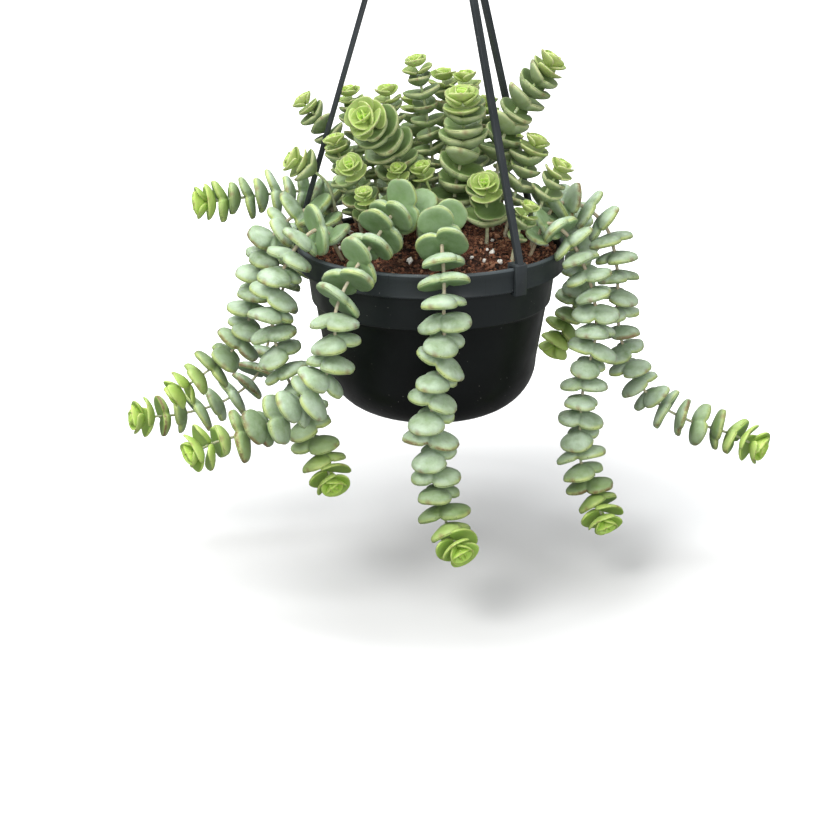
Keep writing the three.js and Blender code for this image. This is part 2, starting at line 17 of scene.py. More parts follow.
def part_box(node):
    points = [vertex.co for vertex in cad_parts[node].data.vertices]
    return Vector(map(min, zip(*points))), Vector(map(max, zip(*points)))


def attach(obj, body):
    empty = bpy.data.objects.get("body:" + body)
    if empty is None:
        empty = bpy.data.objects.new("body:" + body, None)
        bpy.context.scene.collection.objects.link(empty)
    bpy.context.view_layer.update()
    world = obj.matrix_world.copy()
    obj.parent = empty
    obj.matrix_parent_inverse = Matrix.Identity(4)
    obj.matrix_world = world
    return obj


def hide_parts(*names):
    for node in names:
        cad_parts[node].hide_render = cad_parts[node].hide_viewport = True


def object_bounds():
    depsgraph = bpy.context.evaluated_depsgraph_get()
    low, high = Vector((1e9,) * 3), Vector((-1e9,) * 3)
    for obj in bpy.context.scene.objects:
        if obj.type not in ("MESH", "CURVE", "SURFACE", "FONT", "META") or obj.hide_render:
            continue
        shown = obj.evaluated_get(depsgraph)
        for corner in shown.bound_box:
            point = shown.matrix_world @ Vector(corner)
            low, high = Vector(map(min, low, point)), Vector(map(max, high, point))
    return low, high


bl_info = {
    "name": "Potted Crassula",
    "version": (1, 0, 0),
    "blender": (4, 5, 0),
    "location": "3D View > Sidebar > Crassula",
    "description": "Builds the finished pieces of a trailing crassula in a hanging pot",
    "category": "Add Mesh",
}

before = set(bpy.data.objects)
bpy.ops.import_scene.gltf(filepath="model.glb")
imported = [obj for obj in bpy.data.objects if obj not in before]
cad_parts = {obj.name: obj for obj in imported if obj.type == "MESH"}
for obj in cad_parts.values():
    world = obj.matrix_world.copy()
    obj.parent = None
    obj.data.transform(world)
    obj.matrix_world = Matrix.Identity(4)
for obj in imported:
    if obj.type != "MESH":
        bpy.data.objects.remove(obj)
CAD_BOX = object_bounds()
MM = 0.001
UP = Vector((0, 0, 1))

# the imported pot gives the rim's height and radius, from which the other pieces are placed
POT_LOW, POT_HIGH = (Vector(corner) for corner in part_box("pot"))
RIM_HEIGHT = POT_HIGH.z
RIM_RADIUS = (POT_HIGH.x - POT_LOW.x) / 2
POT_DEPTH = POT_HIGH.z - POT_LOW.z

# ---------- stems ----------
# root: where the stem stands in the soil, x and y. size scales the leaves, and pitch the step from one pair
# to the next on a trailing stem; an upright shoot has none. cup is how much a pair folds towards the tip,
# bare the naked length above the root, turn the first pair's heading in degrees. route: the points the stem
# passes, x right, y back, z above the rim plane, in millimetres.

Stem = namedtuple("Stem", "name root size pitch cup bare turn route")

TRAILING = [
    Stem("trail_front", (9, -34), 1.0, 0.97, 0.12, 18, 28,
         [(8, -40, 17), (5, -54, 22), (5, -70, 16), (6, -83, 2), (6, -88, -14), (6, -88, -33),
          (2, -87, -51), (0, -86, -70), (2, -86, -91), (5, -87, -110), (9, -91, -123), (14, -102, -129)]),
    Stem("trail_front_left", (-6, -26), 1.02, 1.02, 0.14, 24, 65,
         [(-9, -33, 24), (-17, -46, 26), (-27, -62, 15), (-38, -76, 1), (-45, -84, -14), (-46, -84, -34),
          (-54, -82, -52), (-67, -79, -65), (-87, -76, -77), (-105, -76, -83), (-115, -81, -86)]),
    Stem("trail_left", (-44, -36), 0.98, 1.02, 0.12, 18, 45,
         [(-53, -40, 15), (-64, -44, 10), (-74, -46, -6), (-79, -47, -24), (-78, -47, -40), (-72, -48, -60),
          (-65, -50, -72), (-59, -52, -93), (-54, -53, -104), (-50, -61, -111)]),
    Stem("trail_low_left", (-40, 42), 0.95, 1.05, 0.12, 22, 60,
         [(-50, 48, 14), (-60, 54, 8), (-70, 54, -10), (-80, 46, -32), (-88, 34, -58), (-96, 24, -82),
          (-114, 16, -95), (-138, 11, -101), (-159, 3, -100)]),
    Stem("trail_outer_left", (-52, -10), 0.98, 0.98, 0.12, 13, 55,
         [(-60, -12, 18), (-72, -13, 14), (-84, -13, 0), (-90, -12, -18), (-94, -12, -36), (-99, -13, -50),
          (-112, -14, -63), (-133, -21, -77)]),
    Stem("trail_level_left", (-46, 24), 0.9, 0.8, 0.16, 13, 10,
         [(-58, 25, 17), (-72, 26, 20), (-90, 25, 18), (-108, 23, 16), (-121, 20, 15)]),
    Stem("trail_right", (50, -25), 0.95, 0.98, 0.12, 18, 75,
         [(57, -28, 15), (67, -31, 11), (76, -34, -4), (82, -37, -22), (83, -38, -42), (78, -39, -66),
          (77, -40, -94), (79, -40, -112), (85, -41, -125), (90, -53, -136)]),
    Stem("trail_outer_right", (54, 0), 0.95, 1.04, 0.12, 20, 25,
         [(64, 0, 18), (78, 0, 18), (91, -1, 6), (97, -2, -15), (98, -2, -36), (101, -3, -54),
          (109, -4, -74), (122, -6, -88), (139, -8, -97), (160, -11, -103), (173, -19, -107)]),
    Stem("trail_back_right", (50, 20), 0.9, 1.0, 0.12, 12, 30,
         [(60, 22, 16), (72, 26, 10), (80, 32, -8), (82, 38, -30), (78, 42, -52), (70, 44, -72)]),
    Stem("trail_back", (12, 50), 0.95, 1.1, 0.12, 18, 0,
         [(14, 60, 16), (16, 72, 12), (18, 84, -4), (18, 90, -26), (16, 90, -48), (12, 88, -66)]),
    Stem("trail_back_left", (-14, 52), 0.95, 1.1, 0.12, 18, 45,
         [(-17, 62, 15), (-22, 74, 10), (-27, 84, -8), (-29, 88, -30), (-28, 88, -54)]),
]

SHOOTS = [
    Stem("shoot_a", (-37, 18), 0.66, None, 0.45, 30, 10, [(-42, 19, 30), (-52, 18, 50), (-66, 17, 69)]),
    Stem("shoot_b", (-33, 33), 0.62, None, 0.5, 40, 70, [(-37, 32, 36), (-43, 30, 72)]),
    Stem("shoot_c", (-12, 2), 0.95, None, 0.45, 26, 20,
         [(-13, -1, 24), (-18, -9, 46), (-25, -19, 60), (-32, -31, 68)]),
    Stem("shoot_d", (-18, 22), 0.66, None, 0.55, 42, 50, [(-19, 21, 38), (-23, 18, 74)]),
    Stem("shoot_e", (-36, -2), 0.6, None, 0.45, 24, 0, [(-41, -4, 26), (-49, -6, 53)]),
    Stem("shoot_f", (-29, -16), 0.68, None, 0.45, 16, 30, [(-34, -19, 22), (-38, -24, 37), (-40, -31, 45)]),
    Stem("shoot_g", (-14, -18), 0.5, None, 0.5, 24, 60, [(-15, -20, 26), (-17, -27, 43)]),
    Stem("shoot_h", (-28, -30), 0.5, None, 0.5, 18, 15, [(-31, -33, 18), (-33, -40, 34)]),
    Stem("shoot_i", (-47, -2), 0.75, None, 0.45, 36, 45, [(-53, -4, 30), (-70, -7, 43)]),
    Stem("shoot_j", (2, -16), 0.58, None, 0.4, 27, 80, [(1, -18, 24), (-5, -22, 42)]),
    Stem("shoot_k", (0, 16), 0.66, None, 0.4, 32, 0, [(1, 14, 32), (-2, 12, 60), (-8, 10, 90)]),
    Stem("shoot_l", (8, 34), 0.66, None, 0.45, 42, 30, [(8, 33, 40), (6, 32, 80)]),
    Stem("shoot_m", (22, 20), 0.7, None, 0.45, 42, 55, [(21, 20, 40), (17, 19, 81)]),
    Stem("shoot_n", (12, -6), 0.92, None, 0.42, 16, 85, [(12, -9, 28), (16, -13, 52), (15, -19, 76)]),
    Stem("shoot_o", (32, 6), 0.82, None, 0.4, 36, 25, [(35, 6, 44), (42, 6, 64), (60, 6, 90)]),
    Stem("shoot_p", (36, 22), 0.6, None, 0.5, 28, 65, [(39, 21, 30), (43, 20, 50)]),
    Stem("shoot_q", (38, -4), 0.75, None, 0.45, 20, 5, [(43, -4, 26), (53, -5, 52)]),
    Stem("shoot_r", (51, -14), 0.66, None, 0.45, 21, 35, [(56, -16, 24), (65, -17, 42)]),
    Stem("shoot_s", (28, -22), 0.8, None, 0.5, 12, 10, [(28, -25, 16), (27, -30, 29), (26, -37, 37)]),
    Stem("shoot_t", (40, -38), 0.55, None, 0.5, 12, 40, [(43, -39, 14), (48, -40, 27)]),
    Stem("shoot_u", (-6, 38), 0.68, None, 0.45, 32, 20, [(-7, 39, 32), (-10, 40, 66)]),
    Stem("shoot_v", (26, 42), 0.68, None, 0.45, 30, 75, [(27, 43, 32), (29, 46, 64)]),
    Stem("shoot_w", (-28, 46), 0.66, None, 0.45, 20, 50, [(-31, 48, 24), (-35, 52, 48)]),
]

ROUTE_STEPS = 16        # samples in each span of a stem's route
LEAF_LENGTH = 26        # leaf pair of a size 1 stem: end to end, across, thick, and the step to the next
LEAF_WIDTH = 19
LEAF_THICKNESS = 7.6
LEAF_PITCH = 10.2
SHOOT_PITCH = 7.4
STEM_RADIUS = 1.1
ROOT_DEPTH = 14
KEEP_CLEAR = 1.1        # leaves stay this far from the pot and the soil
SOIL_REACH = 67.15      # radius of the soil's top
SOIL_EDGE_DEPTH = 6     # the top's depth at the wall, how far it mounds up in the middle, and its lumps
SOIL_MOUND = 13
SOIL_LUMP = 0.8


# ---------- small helpers ----------

def linear(red, green, blue):
    """A colour given as 0 to 255 screen values, as the linear colour a shader takes."""
    def channel(value):
        value /= 255
        return value / 12.92 if value <= 0.04045 else ((value + 0.055) / 1.055) ** 2.4
    return channel(red), channel(green), channel(blue), 1.0


def seeded_random(seed):
    """The small generator that varied the solids' leaves, so that the finished ones sit where they do."""
    mask = 0xFFFFFFFF
    state = seed & mask
    while True:
        state = (state + 0x6D2B79F5) & mask
        mixed = ((state ^ (state >> 15)) * (state | 1)) & mask
        mixed ^= (mixed + (((mixed ^ (mixed >> 7)) * (mixed | 61)) & mask)) & mask
        yield ((mixed ^ (mixed >> 14)) & mask) / 4294967296


def outward(azimuth):
    """The level direction at an azimuth counted from the front towards the right."""
    return Vector((math.sin(math.radians(azimuth)), -math.cos(math.radians(azimuth)), 0))


def square_to(side, direction):
    """The part of a side direction that stands square to another direction, at length 1."""
    return (side - direction * side.dot(direction)).normalized()


def from_rim(point):
    """A point in millimetres from the middle of the rim plane, in the scene's metres."""
    return point * MM + UP * RIM_HEIGHT


def new_object(name, data):
    """An object in the scene, at the origin, for a mesh, curve, light or camera."""
    made = bpy.data.objects.new(name, data)
    bpy.context.scene.collection.objects.link(made)
    return made


def new_piece(name, source, materials=()):
    """Turns a bmesh into a finished smooth object, and frees it."""
    mesh = bpy.data.meshes.new(name)
    source.to_mesh(mesh)
    source.free()
    mesh.polygons.foreach_set("use_smooth", [True] * len(mesh.polygons))
    for material in materials:
        mesh.materials.append(material)
    return new_object(name, mesh)


class Repeats:
    """Gathers many copies of small shapes, each already placed, into one mesh."""

    def __init__(self, *layers):
        self.points = []
        self.faces = []
        self.slots = []
        self.layers = {name: [] for name in layers}

    def add(self, points, faces, slot=0, **values):
        """Adds one copy. A layer's value is one number for the copy or a list with one for each point."""
        first = len(self.points)
        self.points.extend(points)
        self.faces.extend([first + corner for corner in face] for face in faces)
        self.slots.extend([slot] * len(faces))
        for name, layer in self.layers.items():
            value = values.get(name, 0.0)
            layer.extend(value if isinstance(value, list) else [value] * len(points))

    def piece(self, name, materials, smooth=True):
        """The finished object, with the layers as attributes of its points."""
        mesh = bpy.data.meshes.new(name)
        mesh.from_pydata(self.points, [], self.faces)
        for material in materials:
            mesh.materials.append(material)
        mesh.polygons.foreach_set("material_index", self.slots)
        mesh.polygons.foreach_set("use_smooth", [smooth] * len(self.faces))
        for layer, values in self.layers.items():
            mesh.attributes.new(layer, "FLOAT", "POINT").data.foreach_set("value", values)
        mesh.validate()
        return new_object(name, mesh)


def shape_of(source):
    """The points and faces of a bmesh, which is freed."""
    source.verts.index_update()
    points = [vert.co.copy() for vert in source.verts]
    faces = [[vert.index for vert in face.verts] for face in source.faces]
    source.free()
    return points, faces


def merge_into(target, source):
    """Adds one bmesh to another and frees it."""
    mesh = bpy.data.meshes.new("scrap")
    source.to_mesh(mesh)
    source.free()
    target.from_mesh(mesh)
    bpy.data.meshes.remove(mesh)


def close_skin(target, distance):
    """Merges the points that lie within a distance of each other and turns the faces outwards."""
    bmesh.ops.remove_doubles(target, verts=target.verts, dist=distance)
    bmesh.ops.recalc_face_normals(target, faces=target.faces)


def spin_profile(profile, level, steps):
    """A bmesh of an outline spun round the Z axis: (radius, height) points in millimetres above a level."""
    turned = bmesh.new()
    verts = [turned.verts.new((radius * MM, 0, level + height * MM)) for radius, height in profile]
    edges = [turned.edges.new(pair) for pair in zip(verts, verts[1:])]
    bmesh.ops.spin(turned, geom=verts + edges, cent=(0, 0, 0), axis=(0, 0, 1), angle=math.tau,
                   steps=steps, use_merge=True, use_duplicate=False)
    close_skin(turned, 1e-6)
    return turned


def tube_along(points, radius, shares, roundness=2):
    """A bmesh of a tube along points in metres; shares scale the radius at each point."""
    curve = bpy.data.curves.new("tube", "CURVE")
    curve.dimensions = "3D"
    curve.bevel_depth = radius
    curve.bevel_resolution = roundness
    curve.use_fill_caps = True
    spline = curve.splines.new("POLY")
    spline.points.add(len(points) - 1)
    for knot, point, share in zip(spline.points, points, shares):
        knot.co = (*point, 1)
        knot.radius = share
    holder = new_object("tube", curve)
    tube = bmesh.new()
    tube.from_mesh(holder.to_mesh())
    close_skin(tube, 1e-7)
    holder.to_mesh_clear()
    bpy.data.objects.remove(holder)
    bpy.data.curves.remove(curve)
    return tube


def smooth_line(points, steps):
    """A smooth line through points, steps samples a span, passing each of them."""
    knots = [points[0] * 2 - points[1], *points, points[-1] * 2 - points[-2]]
    line = []
    for index in range(len(points) - 1):
        a, b, c, d = knots[index:index + 4]
        for step in range(steps):
            t = step / steps
            line.append(0.5 * (2 * b + (c - a) * t + (2 * a - 5 * b + 4 * c - d) * t ** 2
                               + (3 * b - a - 3 * c + d) * t ** 3))
    line.append(points[-1].copy())
    return line


# ---------- materials ----------

class Nodes:
    """A node tree that nodes are added to."""

    def __init__(self, tree):
        self.nodes = tree.nodes
        self.links = tree.links

    def feed(self, source, target):
        """Links an output to an input, or sets the input to a value."""
        if isinstance(source, bpy.types.NodeSocket):
            self.links.new(source, target)
        else:
            target.default_value = source

    def add(self, kind, output, inputs=None, **settings):
        """Adds a node with its settings and inputs, and returns one of its outputs."""
        node = self.nodes.new("ShaderNode" + kind)
        for name, value in settings.items():
            setattr(node, name, value)
        for name, source in (inputs or {}).items():
            self.feed(source, node.inputs[name])
        return node.outputs[output]


class Shader(Nodes):
    """A material's node tree with short words for the nodes this object needs."""

    def __init__(self, name):
        self.material = bpy.data.materials.new(name)
        self.material.use_nodes = True
        super().__init__(self.material.node_tree)
        self.surface = self.nodes["Principled BSDF"]
        self.coordinates = self.add("TexCoord", "Object")

    def stretched(self, scale):
        return self.add("Mapping", "Vector", {"Vector": self.coordinates, "Scale": scale})

    def attribute(self, name):
        return self.add("Attribute", "Fac", attribute_name=name)

    def math(self, operation, first, second=0.0):
        return self.add("Math", 0, {0: first, 1: second}, operation=operation)

    def times(self, first, second):
        return self.math("MULTIPLY", first, second)

    def ramp(self, value, *stops):
        node = self.nodes.new("ShaderNodeValToRGB")
        elements = node.color_ramp.elements
        while len(elements) < len(stops):
            elements.new(0.5)
        for element, (place, colour) in zip(elements, stops):
            element.position = place
            element.color = (colour, colour, colour, 1) if isinstance(colour, float) else colour
        self.links.new(value, node.inputs["Fac"])
        return node.outputs["Color"]

    def near(self, value, place, inner, outer):
        """1 where a value lies within inner of a place, falling to 0 at outer."""
        away = self.math("ABSOLUTE", self.math("SUBTRACT", value, place))
        return self.ramp(away, (inner, 1.0), (outer, 0.0))

    def noise(self, scale, detail, roughness=0.55, vector=None):
        return self.add("TexNoise", "Fac", {"Vector": vector or self.coordinates, "Scale": scale,
                                            "Detail": detail, "Roughness": roughness})

    def patches(self, scale, detail, *stops, roughness=0.55):
        """Noise sorted by a ramp."""
        return self.ramp(self.noise(scale, detail, roughness), *stops)

    def specks(self, scale, inner, outer):
        """Scattered round dots: 1 within inner of a dot's middle, falling to 0 at outer."""
        distance = self.add("TexVoronoi", "Distance", {"Vector": self.coordinates, "Scale": scale})
        return self.ramp(distance, (inner, 1.0), (outer, 0.0))

    def mix(self, share, first, second, blend="MIX"):
        return self.add("Mix", 2, {"Factor": share, 6: first, 7: second}, data_type="RGBA", blend_type=blend)

    def tint(self, share, colour, tone):
        """The colour multiplied by a tone, as far as the share says."""
        return self.mix(share, colour, tone, "MULTIPLY")

    def bump(self, height, strength, distance, under=None):
        inputs = {"Height": height, "Strength": strength, "Distance": distance}
        if under is not None:
            inputs["Normal"] = under
        return self.add("Bump", "Normal", inputs)

    def finish(self, colour, roughness, normal=None, **fixed):
        """Sets the surface; a name in fixed is a socket's, with underscores for its spaces."""
        self.feed(colour, self.surface.inputs["Base Color"])
        self.feed(roughness, self.surface.inputs["Roughness"])
        if normal is not None:
            self.feed(normal, self.surface.inputs["Normal"])
        for socket, value in fixed.items():
            self.surface.inputs[socket.replace("_", " ")].default_value = value
        return self.material


def leaf_material(name, colours):
    """Fleshy waxy leaf: mint when old, yellow-green when young and lime in the bud, with a double margin."""
    shade = Shader(name)
    age = shade.attribute("age")
    side = shade.attribute("side")
    colour = shade.ramp(age, (0.0, colours.old), (0.5, colours.mid), (0.86, colours.young),
                        (1.0, linear(196, 234, 106)))
    colour = shade.tint(shade.attribute("tone"), colour, linear(196, 206, 176))
    colour = shade.tint(shade.patches(95, 4, (0.40, 0.0), (0.66, 0.5)), colour, linear(214, 226, 160))
    # the face towards the tip is greener, less so in the bud, and waxy bloom greys the one towards the root
    above = shade.times(shade.ramp(side, (0.25, 0.0), (0.7, 0.7)), shade.ramp(age, (0.7, 1.0), (0.95, 0.2)))
    colour = shade.tint(above, colour, linear(178, 206, 142))
    wax = shade.times(shade.patches(150, 6, (0.36, 0.25), (0.62, 0.8), roughness=0.65),
                      shade.ramp(age, (0.0, 0.8), (0.6, 0.12), (0.9, 0.0)))
    wax = shade.times(wax, shade.ramp(side, (0.0, 1.0), (0.35, 0.3)))
    colour = shade.mix(wax, colour, linear(208, 226, 206))
    # margin: a yellow-green band with a thin dark line and dots along it
    band = shade.near(side, 0.05, 0.12, 0.5)
    edge = shade.times(band, shade.patches(70, 3, (0.38, 0.2), (0.62, 0.85)))
    colour = shade.mix(edge, colour, colours.margin)
    line = shade.times(shade.near(side, 0.12, 0.03, 0.10), shade.patches(260, 4, (0.40, 0.0), (0.56, 0.75)))
    colour = shade.mix(line, colour, linear(92, 108, 58))
    dots = shade.times(shade.specks(560, 0.12, 0.22), shade.times(band, 0.6))
    colour = shade.mix(dots, colour, linear(74, 90, 44))
    # brown scars at the ends and dry papery patches on a few old leaves
    colour = shade.mix(shade.times(shade.attribute("apex"), 0.6), colour, linear(128, 84, 66))
    broken = shade.patches(180, 5, (0.40, 0.0), (0.56, 0.9), roughness=0.7)
    paper = shade.times(shade.attribute("dry"), shade.times(band, broken))
    colour = shade.mix(paper, colour, linear(122, 94, 66))
    rough = shade.patches(300, 4, (0.3, 0.40), (0.7, 0.56))
    skin = shade.bump(shade.noise(1400, 5, 0.6), 0.20, 0.0003)
    skin = shade.bump(shade.noise(220, 3), 0.20, 0.0012, skin)
    return shade.finish(colour, rough, skin, Subsurface_Weight=0.16, Subsurface_Radius=(0.6, 1.0, 0.3),
                        Subsurface_Scale=0.002, Specular_IOR_Level=0.4, Coat_Weight=0.05, Coat_Roughness=0.4)


def stem_material():
    """Thin stem: pale and fresh near the tip, tan and brown and woodier towards the root."""
    shade = Shader("stem_bark")
    colour = shade.ramp(shade.attribute("age"), (0.0, linear(166, 146, 116)), (0.25, linear(202, 196, 170)),
                        (0.7, linear(192, 206, 160)), (1.0, linear(182, 208, 130)))
    colour = shade.mix(shade.patches(500, 4, (0.45, 0.0), (0.7, 0.5)), colour, linear(118, 92, 70))
    skin = shade.bump(shade.noise(900, 4), 0.3, 0.0004)
    return shade.finish(colour, 0.6, skin, Subsurface_Weight=0.08, Subsurface_Scale=0.002)


def plastic_material(name, colour, scuffed, sheen, dust_and_painted_sheen=()):
    """Satin moulded plastic with faint flow marks, fine scuffs and dust specks.

    The last argument lists (height, share) pairs, low to high: how much greyer the plastic is painted from
    there up, partly as dust and partly as painted sheen and a painted highlight.
    """
    shade = Shader(name)
    scratch = shade.noise(1, 3, 0.5, shade.stretched((1500, 1500, 60)))
    body = shade.mix(shade.patches(35, 4, (0.4, 0.0), (0.75, 0.5)), colour, scuffed)
    # painted greyer above each height: partly dust, partly painted sheen, and at the top a painted highlight
    for height, share in dust_and_painted_sheen:
        above = shade.math("GREATER_THAN", shade.add("SeparateXYZ", "Z", {0: shade.coordinates}), height)
        body = shade.mix(shade.times(above, share), body, linear(96, 104, 108))
    body = shade.mix(shade.ramp(scratch, (0.60, 0.0), (0.78, 0.5)), body, scuffed)
    dust = shade.times(shade.specks(330, 0.05, 0.11), shade.patches(60, 3, (0.5, 0.0), (0.62, 0.5)))
    body = shade.mix(dust, body, linear(150, 148, 144))
    rough = shade.patches(80, 5, (0.3, 0.30), (0.7, 0.46), roughness=0.6)
    skin = shade.bump(shade.noise(900, 5, 0.6), 0.12, 0.0002)
    skin = shade.bump(scratch, 0.08, 0.0003, skin)
    return shade.finish(body, rough, skin, Specular_IOR_Level=sheen)


def soil_material(name, dark, mid, light):
    """Damp coir: noise spreads its colour from a dark brown, painted shade between the crumbs, over red-brown
    crumbs painted in shade and in light, with paler fibres.
    """
    shade = Shader(name)
    # painted shade and light: noise and each crumb's tone choose among gap shade, crumbs in shade and lit
    # crumbs
    crumbs = shade.math("ADD", shade.noise(420, 6, 0.7), shade.attribute("tone"))
    colour = shade.ramp(crumbs, (0.34, dark), (0.55, mid), (0.80, light))
    # larger patches of the dark tone: more painted shade between crumbs
    colour = shade.mix(shade.patches(45, 3, (0.4, 0.0), (0.7, 0.6)), colour, dark)
    skin = shade.bump(shade.noise(900, 6, 0.7), 0.8, 0.001)
    return shade.finish(colour, 0.85, skin, Specular_IOR_Level=0.4)


def grain_material():
    """White expanded mineral grain, dusted with soil in its pits."""
    shade = Shader("white_grain")
    colour = shade.patches(700, 5, (0.32, linear(196, 180, 160)), (0.5, linear(240, 238, 232)),
                           roughness=0.65)
    return shade.finish(colour, 0.85, shade.bump(shade.noise(1600, 4), 0.5, 0.0005))


def floor_material(bounce):
    """Pale grey paper floor that glows white for the camera away from the plant, a painted light that leaves
    a painted shadow round the plant over the shadow it really casts.

    It throws back less light than it shows, so that what hangs over it keeps its shade.
    """
    shade = Shader("studio_floor")
    # pale grey where the floor's emission stays off: painted shadow round the plant, besides its real shadow
    paper = shade.patches(3, 2, (0.0, linear(224, 225, 226)), (1.0, linear(230, 230, 230)))
    seen = shade.add("LightPath", "Is Camera Ray")
    colour = shade.mix(seen, (bounce, bounce, bounce, 1), paper)
    # painted light: for the camera the floor glows from 0.12 m out, full white at 0.40 m from the plant's
    # axis
    distance = shade.add("VectorMath", "Value", {0: shade.stretched((1, 1, 0))}, operation="LENGTH")
    painted_glow = shade.times(shade.ramp(distance, (0.12, 0.0), (0.40, 1.0)), seen)
    shade.feed(painted_glow, shade.surface.inputs["Emission Strength"])
    return shade.finish(colour, 0.9, Specular_IOR_Level=0.0, Emission_Color=(1, 1, 1, 1))


def studio_world(settings):
    """White where the camera sees it; to everything else a bright sky over a darker horizon."""
    world = bpy.data.worlds.new("studio")
    world.use_nodes = True
    sky = Nodes(world.node_tree)
    height = sky.add("SeparateXYZ", "Z", {0: sky.add("TexCoord", "Generated")})
    light = sky.add("MapRange", 0, {"Value": height, "From Min": -0.2, "From Max": 0.9,
                                    "To Min": settings.horizon, "To Max": settings.sky_strength})
    strength = sky.add("Mix", 0, {0: sky.add("LightPath", "Is Camera Ray"), 2: light, 3: 1.0})
    background = sky.nodes["Background"].inputs
    sky.feed((1, 1, 1, 1), background["Color"])
    sky.feed(strength, background["Strength"])
    return world


# ---------- pot ----------

POT_WALL = 2
BAND_DEPTH = 12         # how far the rim band and the collar under it reach down from the rim
COLLAR_DEPTH = 30
POT_FLAT = 29           # radius of the flat base, and of the round corner between it and the wall
POT_CORNER = 27
WALL_TOP = 60.8         # outer radius of the wall under the collar, of the collar's foot and of its top
COLLAR_FOOT = 62.6
COLLAR_TOP = 64.6
BAND_WALL = 2.5         # thickness of the rim band, and the height of its rounded lip
LIP_ROUND = 1.2
HOLE_CIRCLE = 20        # drain holes: radius of the circle they stand on, their own, and the cut's height
HOLE_RADIUS = 3
HOLE_CUT = 12


def rounded_corner(flat, radius, low, steps):
    """Quarter circle from the flat base up to the wall, as (radius, height) points."""
    angles = [math.pi / 2 * step / steps for step in range(steps + 1)]
    return [(flat + radius * math.sin(angle), low + radius * (1 - math.cos(angle))) for angle in angles]


def pot_profile(sizes):
    """The pot's outline in millimetres below the rim plane: up the inside, over the lip, down the outside."""
    rim, wall = sizes.rim_radius / MM, sizes.wall / MM
    depth = POT_DEPTH / MM
    collar, band = sizes.collar_depth / MM, sizes.band_depth / MM
    inside = [(0, -depth + wall), *rounded_corner(POT_FLAT, POT_CORNER - wall, -depth + wall, 8),
              (WALL_TOP - wall, -collar - 1), (COLLAR_FOOT - wall, -collar + 1),
              (COLLAR_TOP - wall, -band - 1.5), (rim - BAND_WALL, -band + 2.5), (rim - BAND_WALL, -LIP_ROUND)]
    lip_half = BAND_WALL / 2
    lip = [(rim - lip_half - lip_half * math.cos(angle), -LIP_ROUND + LIP_ROUND * math.sin(angle))
           for angle in (math.pi * step / 8 for step in range(1, 8))]
    outside = [(rim, -LIP_ROUND), (rim - 0.05, -3.4), (rim - 0.35, -4.0), (rim - 0.35, -band + 1.1),
               (rim - 0.1, -band + 0.6), (rim - 0.25, -band + 0.05), (rim - 0.7, -band - 0.15),
               (COLLAR_TOP + 0.6, -band - 0.3), (COLLAR_TOP + 0.1, -band - 0.7),
               (COLLAR_TOP - 0.1, -band - 1.8), (COLLAR_FOOT + 0.15, -collar + 1.0),
               (COLLAR_FOOT, -collar + 0.3), (COLLAR_FOOT - 0.4, -collar - 0.1),
               (WALL_TOP + 0.4, -collar - 0.35), (WALL_TOP + 0.05, -collar - 0.8),
               (WALL_TOP - 0.2, -collar - 2.2)]
    return inside + lip + outside + rounded_corner(POT_FLAT, POT_CORNER, -depth, 14)[::-1] + [(0, -depth)]


def cut_drain_holes(piece, count):
    """Cuts the round drain holes through the base with a boolean, and applies it."""
    pegs = bmesh.new()
    for hole in range(count):
        angle = math.tau * hole / count
        place = Vector((HOLE_CIRCLE * MM * math.cos(angle), HOLE_CIRCLE * MM * math.sin(angle), POT_LOW.z))
        bmesh.ops.create_cone(pegs, cap_ends=True, segments=24, radius1=HOLE_RADIUS * MM,
                              radius2=HOLE_RADIUS * MM, depth=HOLE_CUT * MM, matrix=Matrix.Translation(place))
    cutter = new_piece("drain_cutter", pegs)
    cut = piece.modifiers.new("drain_holes", "BOOLEAN")
    cut.object = cutter
    cut.solver = "EXACT"
    graph = bpy.context.evaluated_depsgraph_get()
    finished = bpy.data.meshes.new_from_object(piece.evaluated_get(graph))
    piece.modifiers.clear()
    piece.data = finished
    bpy.data.objects.remove(cutter)


def make_pot(sizes):
    """The pot's shell with its drain holes; its rim and collar are painted greyer, partly as dust and partly
    as painted sheen, and the lip's top carries a painted highlight.
    """
    # collar and rim band painted greyer, partly dust and partly painted sheen; the lip's top a painted
    # highlight
    dust_and_painted_sheen = ((RIM_HEIGHT - sizes.collar_depth, 0.1), (RIM_HEIGHT - sizes.band_depth - 0.2 * MM, 0.16),
             (RIM_HEIGHT - LIP_ROUND * MM, 0.6))
    plastic = plastic_material("pot_black", sizes.colour, sizes.scuff_colour, 0.22, dust_and_painted_sheen)
    pot = new_piece("pot_shell", spin_profile(pot_profile(sizes), RIM_HEIGHT, 128), [plastic])
    cut_drain_holes(pot, sizes.drain_holes)
    pot.data.set_sharp_from_angle(angle=math.radians(40))
    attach(pot, "root")
    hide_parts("pot")


# ---------- soil ----------

SOIL_GAP = 0.5          # between the soil and the pot's wall, and under it
SOIL_BASE_GAP = 0.4
SOIL_RINGS = 26         # rings of points in the soil's top
# white grains that show from the front, x and y
FRONT_GRAINS = ((-53, 8), (-48, -12), (31, -17), (28, -32), (20, -43), (26, -44), (34, -42), (-42, 2),
                (-46, -20))


def soil_top(x, y):
    """Height of the soil's top in millimetres above the rim plane."""
    share = min(1, math.hypot(x, y) / SOIL_REACH)
    lump = math.sin(0.31 * x + 1) * math.cos(0.27 * y) + 0.5 * math.sin(0.53 * x - 0.41 * y)
    return -SOIL_EDGE_DEPTH + SOIL_MOUND * (1 - share ** 2) + SOIL_LUMP * lump * (1 - share ** 4)


def on_soil(x, y):
    """The place on the soil's top over x and y in millimetres, in metres."""
    return Vector((x * MM, y * MM, RIM_HEIGHT + soil_top(x, y) * MM))


